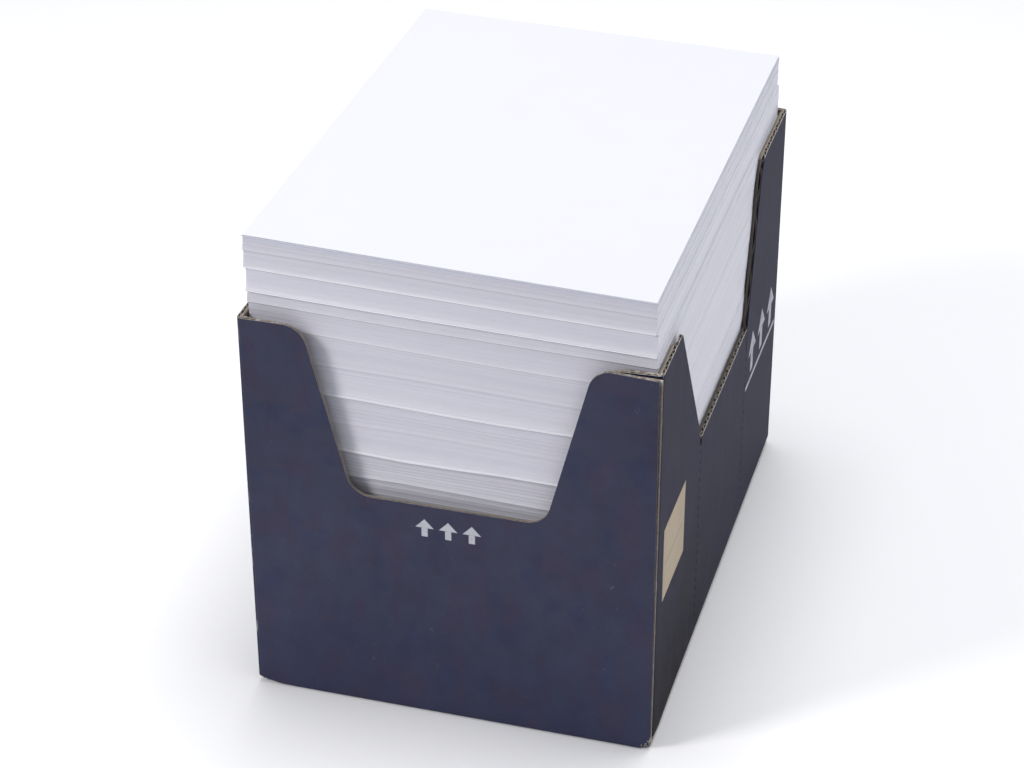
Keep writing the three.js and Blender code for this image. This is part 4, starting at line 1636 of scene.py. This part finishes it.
        rise = np.zeros(len(points))
        for index in range(len(self.bundles)):
            here = which == index
            rise[here] = (wave(index) * (1 - share) + wave(index + 1) * share)[here]
        front = self.tilt[0] + (self.tilt[1] - self.tilt[0]) * across
        back = self.tilt[2] + (self.tilt[3] - self.tilt[2]) * across
        lean = (front + (back - front) * along) * height / self.height
        last = self.bundles[-1].height
        sunk = np.clip((height - last) / (self.height - last), 0, 1) * self.sag
        sunk = sunk * np.sin(math.pi * np.clip(across, 0, 1)) * np.sin(math.pi * np.clip(along, 0, 1))
        made = points.copy()
        made[:, 2] = self.foot + height + lean + rise - sunk + lift
        return made

    def dress_heights(self, mesh: bpy.types.Mesh, heights: np.ndarray) -> None:
        """Keeps for the finish where each point lies in the level stack, and the painted highlight and shade
        it has there.

        Args:
            mesh: The mesh of the paper.
            heights: The height of each point in the level stack.
        """
        def fading(light: Span, distance: np.ndarray) -> np.ndarray:
            """Gives a light or shade of some strength that fades over some reach."""
            return light[0] * np.exp(-distance / light[1])

        which, foot, top = self.bundle_at(heights)
        reach = np.append(self.each("front"), 0.3)
        above, below = heights - foot, top - heights
        # Painted highlight over each bundle's lip, and painted shade under the next lip.
        lip = reach[which] * (fading(self.near_light, above) + fading(self.far_light, above))
        under = reach[which + 1] * fading(self.under_shade, below)
        keep_values(mesh, "sheet_height", heights * MM)
        keep_values(mesh, "sheet_highlight", lip)
        keep_values(mesh, "sheet_shade", np.clip(self.each("shade")[which] + under, 0, 1))

    def leaves(self, paper: bpy.types.Material) -> bpy.types.Object:
        """Lays the leaves with the tree, makes them one plain mesh and settles it.

        Args:
            paper: The finish of the paper.

        Returns:
            The stack of leaves.
        """
        made = self.leaf_points()
        tree = self.leaf_tree()
        layer = made.modifiers.new("leaves", "NODES")
        layer.node_group = tree
        values = {
            "Sheet Width": self.width * MM, "Sheet Depth": self.depth * MM,
            "Leaf Thickness": self.leaf * MM, "Fold Nose": self.nose * MM, "Jitter": self.jitter * MM,
            "Points Across": self.points_across, "Points Along": self.points_along,
            "Seed": self.seed, "Paper": paper,
        }
        for item in tree.interface.items_tree:
            if item.item_type == "SOCKET" and item.in_out == "INPUT" and item.name in values:
                layer[item.identifier] = values[item.name]
        solid = bpy.data.meshes.new_from_object(made.evaluated_get(bpy.context.evaluated_depsgraph_get()))
        made.modifiers.clear()
        made.data = solid
        solid.name = "form_leaves"
        points = np.zeros(len(solid.vertices) * 3)
        solid.vertices.foreach_get("co", points)
        points = points.reshape(-1, 3) / MM
        self.dress_heights(solid, points[:, 2])
        solid.vertices.foreach_set("co", (self.settle(points) * MM).ravel())
        solid.update()
        return made

    def top(self, paper: bpy.types.Material) -> bpy.types.Object:
        """Makes the form on top, which lies a little loose and stands out in front.

        Args:
            paper: The finish of the paper.

        Returns:
            The form.
        """
        columns, rows = 28, 40
        across = np.linspace(-0.5, 0.5, columns + 1)
        along = np.linspace(-0.5, 0.5, rows + 1)
        grid_x, grid_y = (axis.ravel() for axis in np.meshgrid(across, along, indexing="ij"))
        corner = np.clip(0.5 - grid_x, 0, 1) ** 3 * np.clip(0.5 - grid_y, 0, 1) ** 2
        rear = np.clip(grid_x + 0.5, 0, 1) ** 4 * np.clip(grid_y + 0.5, 0, 1) ** 3
        loose, front_curl, rear_curl = self.top_curl
        lift = loose + front_curl * corner + rear_curl * rear
        level = np.column_stack([
            self.centre_x + grid_x * self.width + self.top_nudge[0] + self.top_shift,
            grid_y * (self.depth + self.top_longer) + self.top_nudge[1],
            np.full(len(grid_x), self.height - 0.55),
        ])
        points = np.vstack([self.settle(level, lift), self.settle(level, lift + self.top_form)])
        mesh = bpy.data.meshes.new("top_form")
        mesh.from_pydata((points * MM).tolist(), [], sheet_faces(columns, rows))
        mesh.materials.append(paper)
        self.dress_heights(mesh, np.full(len(points), self.height - 0.1))
        return link("top_form", mesh)

    def build(self) -> list[bpy.types.Object]:
        """Makes the paper.

        Returns:
            The stack of leaves and the form on top.
        """
        paper = FormPaperFinish().build()
        pieces = [self.leaves(paper), self.top(paper)]
        for made in pieces:
            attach(made, ROOT)
        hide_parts("form_stack")
        return pieces


@dataclass
class Label:
    """The paper label on the right wall, with one corner a little loose."""

    columns: int = 16
    rows: int = 14
    stuck: float = 0.12
    sunk: float = 0.02
    curl: int = 6

    def build(self) -> bpy.types.Object:
        """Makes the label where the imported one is.

        Returns:
            The label.
        """
        low, high = node_box("label")
        thick, wide, tall = high - low
        points, flat = [], []
        for side in (0, 1):
            for i in range(self.columns + 1):
                for j in range(self.rows + 1):
                    u, v = i / self.columns, j / self.rows
                    loose = (thick - self.stuck) * (u ** self.curl) * (v ** self.curl)
                    x = low[0] - self.sunk + (loose + self.stuck) * side + loose * 0.5 * (1 - side)
                    points.append((x, low[1] + u * wide, low[2] + v * tall))
                    flat.append((u, v))
        mesh = bpy.data.meshes.new("wall_label")
        mesh.from_pydata((np.array(points) * MM).tolist(), [], sheet_faces(self.columns, self.rows))
        lay_uv(mesh, "label", np.array(flat))
        mesh.materials.append(LabelFinish().build())
        made = link("wall_label", mesh)
        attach(made, ROOT)
        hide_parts("label")
        return made


# The studio


@dataclass(frozen=True)
class Lamp:
    """A soft square light: its place and side in metres, its power in watts, and its colour."""

    name: str
    place: tuple[float, float, float]
    size: float
    power: float
    colour: Colour = (1.0, 1.0, 1.0)


@dataclass
class Studio:
    """The floor, the lights and the camera, with places in metres."""

    floor_size: float = 9.0
    floor_colour: Colour = (0.95, 0.95, 0.955)
    camera_place: tuple[float, float, float] = (0.3404, -1.2170, 0.8858)
    azimuth: float = 15.617
    elevation: float = 30.893
    roll: float = 0.167
    lens: float = 93.20
    sensor: float = 36.0
    shift: Point = (-0.0193, -0.0222)
    lit_place: tuple[float, float, float] = (0.0, 0.0, 0.14)
    sky_colour: Colour = (0.88, 0.90, 1.0)
    sky_strength: float = 0.335
    lamps: tuple[Lamp, ...] = (
        Lamp("key_light", (-1.35, -1.2, 1.35), 0.5, 20.7, (1.0, 0.99, 0.98)),
        Lamp("right_light", (1.8, 0.5, 1.5), 1.2, 5.6, (0.97, 0.98, 1.0)),
        Lamp("top_light", (0.1, 0.3, 2.3), 1.4, 38.0),
    )

    def floor(self) -> None:
        """Makes the plain pale floor."""
        half = self.floor_size / 2
        mesh = bpy.data.meshes.new("studio_floor")
        corners = [(-half, -half, 0), (half, -half, 0), (half, half, 0), (-half, half, 0)]
        mesh.from_pydata(corners, [], [(0, 1, 2, 3)])
        finish, bench, surface = new_material("studio_floor")
        cloud = bench.effect("mottle", Place=bench.object_place(), Scale=3.0)
        bench.paint(surface, bench.tint(self.floor_colour, bench.scaled(cloud, 0.03, 0.985)), 0.9)
        mesh.materials.append(finish)
        link("studio_floor", mesh)

    def light(self, lamp: Lamp) -> None:
        """Hangs one light that faces the object.

        Args:
            lamp: The light.
        """
        data = bpy.data.lights.new(lamp.name, "AREA")
        data.size, data.energy, data.color = lamp.size, lamp.power, lamp.colour
        made = link(lamp.name, data)
        made.location = lamp.place
        way = Vector(self.lit_place) - Vector(lamp.place)
        made.rotation_euler = way.to_track_quat("-Z", "Y").to_euler()

    def camera(self) -> None:
        """Sets the camera where the photograph was taken from."""
        data = bpy.data.cameras.new("camera")
        data.lens, data.sensor_width = self.lens, self.sensor
        data.shift_x, data.shift_y = self.shift
        made = link("camera", data)
        a, e = math.radians(self.azimuth), math.radians(self.elevation)
        back = Vector((math.sin(a) * math.cos(e), -math.cos(a) * math.cos(e), math.sin(e)))
        roll = Matrix.Rotation(math.radians(self.roll), 3, "Z")
        turn = (-back).to_track_quat("-Z", "Y").to_matrix() @ roll
        made.rotation_mode = "QUATERNION"
        made.rotation_quaternion = turn.to_quaternion()
        made.location = self.camera_place
        bpy.context.scene.camera = made

    def build(self) -> None:
        """Sets up the whole studio."""
        self.floor()
        self.camera()
        for lamp in self.lamps:
            self.light(lamp)
        world = bpy.data.worlds.new("studio_world")
        world.use_nodes = True
        bpy.context.scene.world = world
        sky = world.node_tree.nodes["Background"]
        sky.inputs["Color"].default_value = (*self.sky_colour, 1.0)
        sky.inputs["Strength"].default_value = self.sky_strength
        bpy.context.scene.view_settings.view_transform = "Standard"


def main() -> None:
    """Builds the studio and every piece, and reports each one."""
    logging.basicConfig(level=logging.INFO, format="%(name)s: %(message)s")
    for make in (make_mottle, make_fibres, make_flute_lines, make_scuffs, make_arrows):
        make()
    Studio().build()
    pieces = [*Carton().build(), *FormStack().build(), Label().build()]
    for made in pieces:
        made.data.calc_loop_triangles()
        log.info("%s: %d triangles", made.name, len(made.data.loop_triangles))


if __name__ == "__main__":
    main()
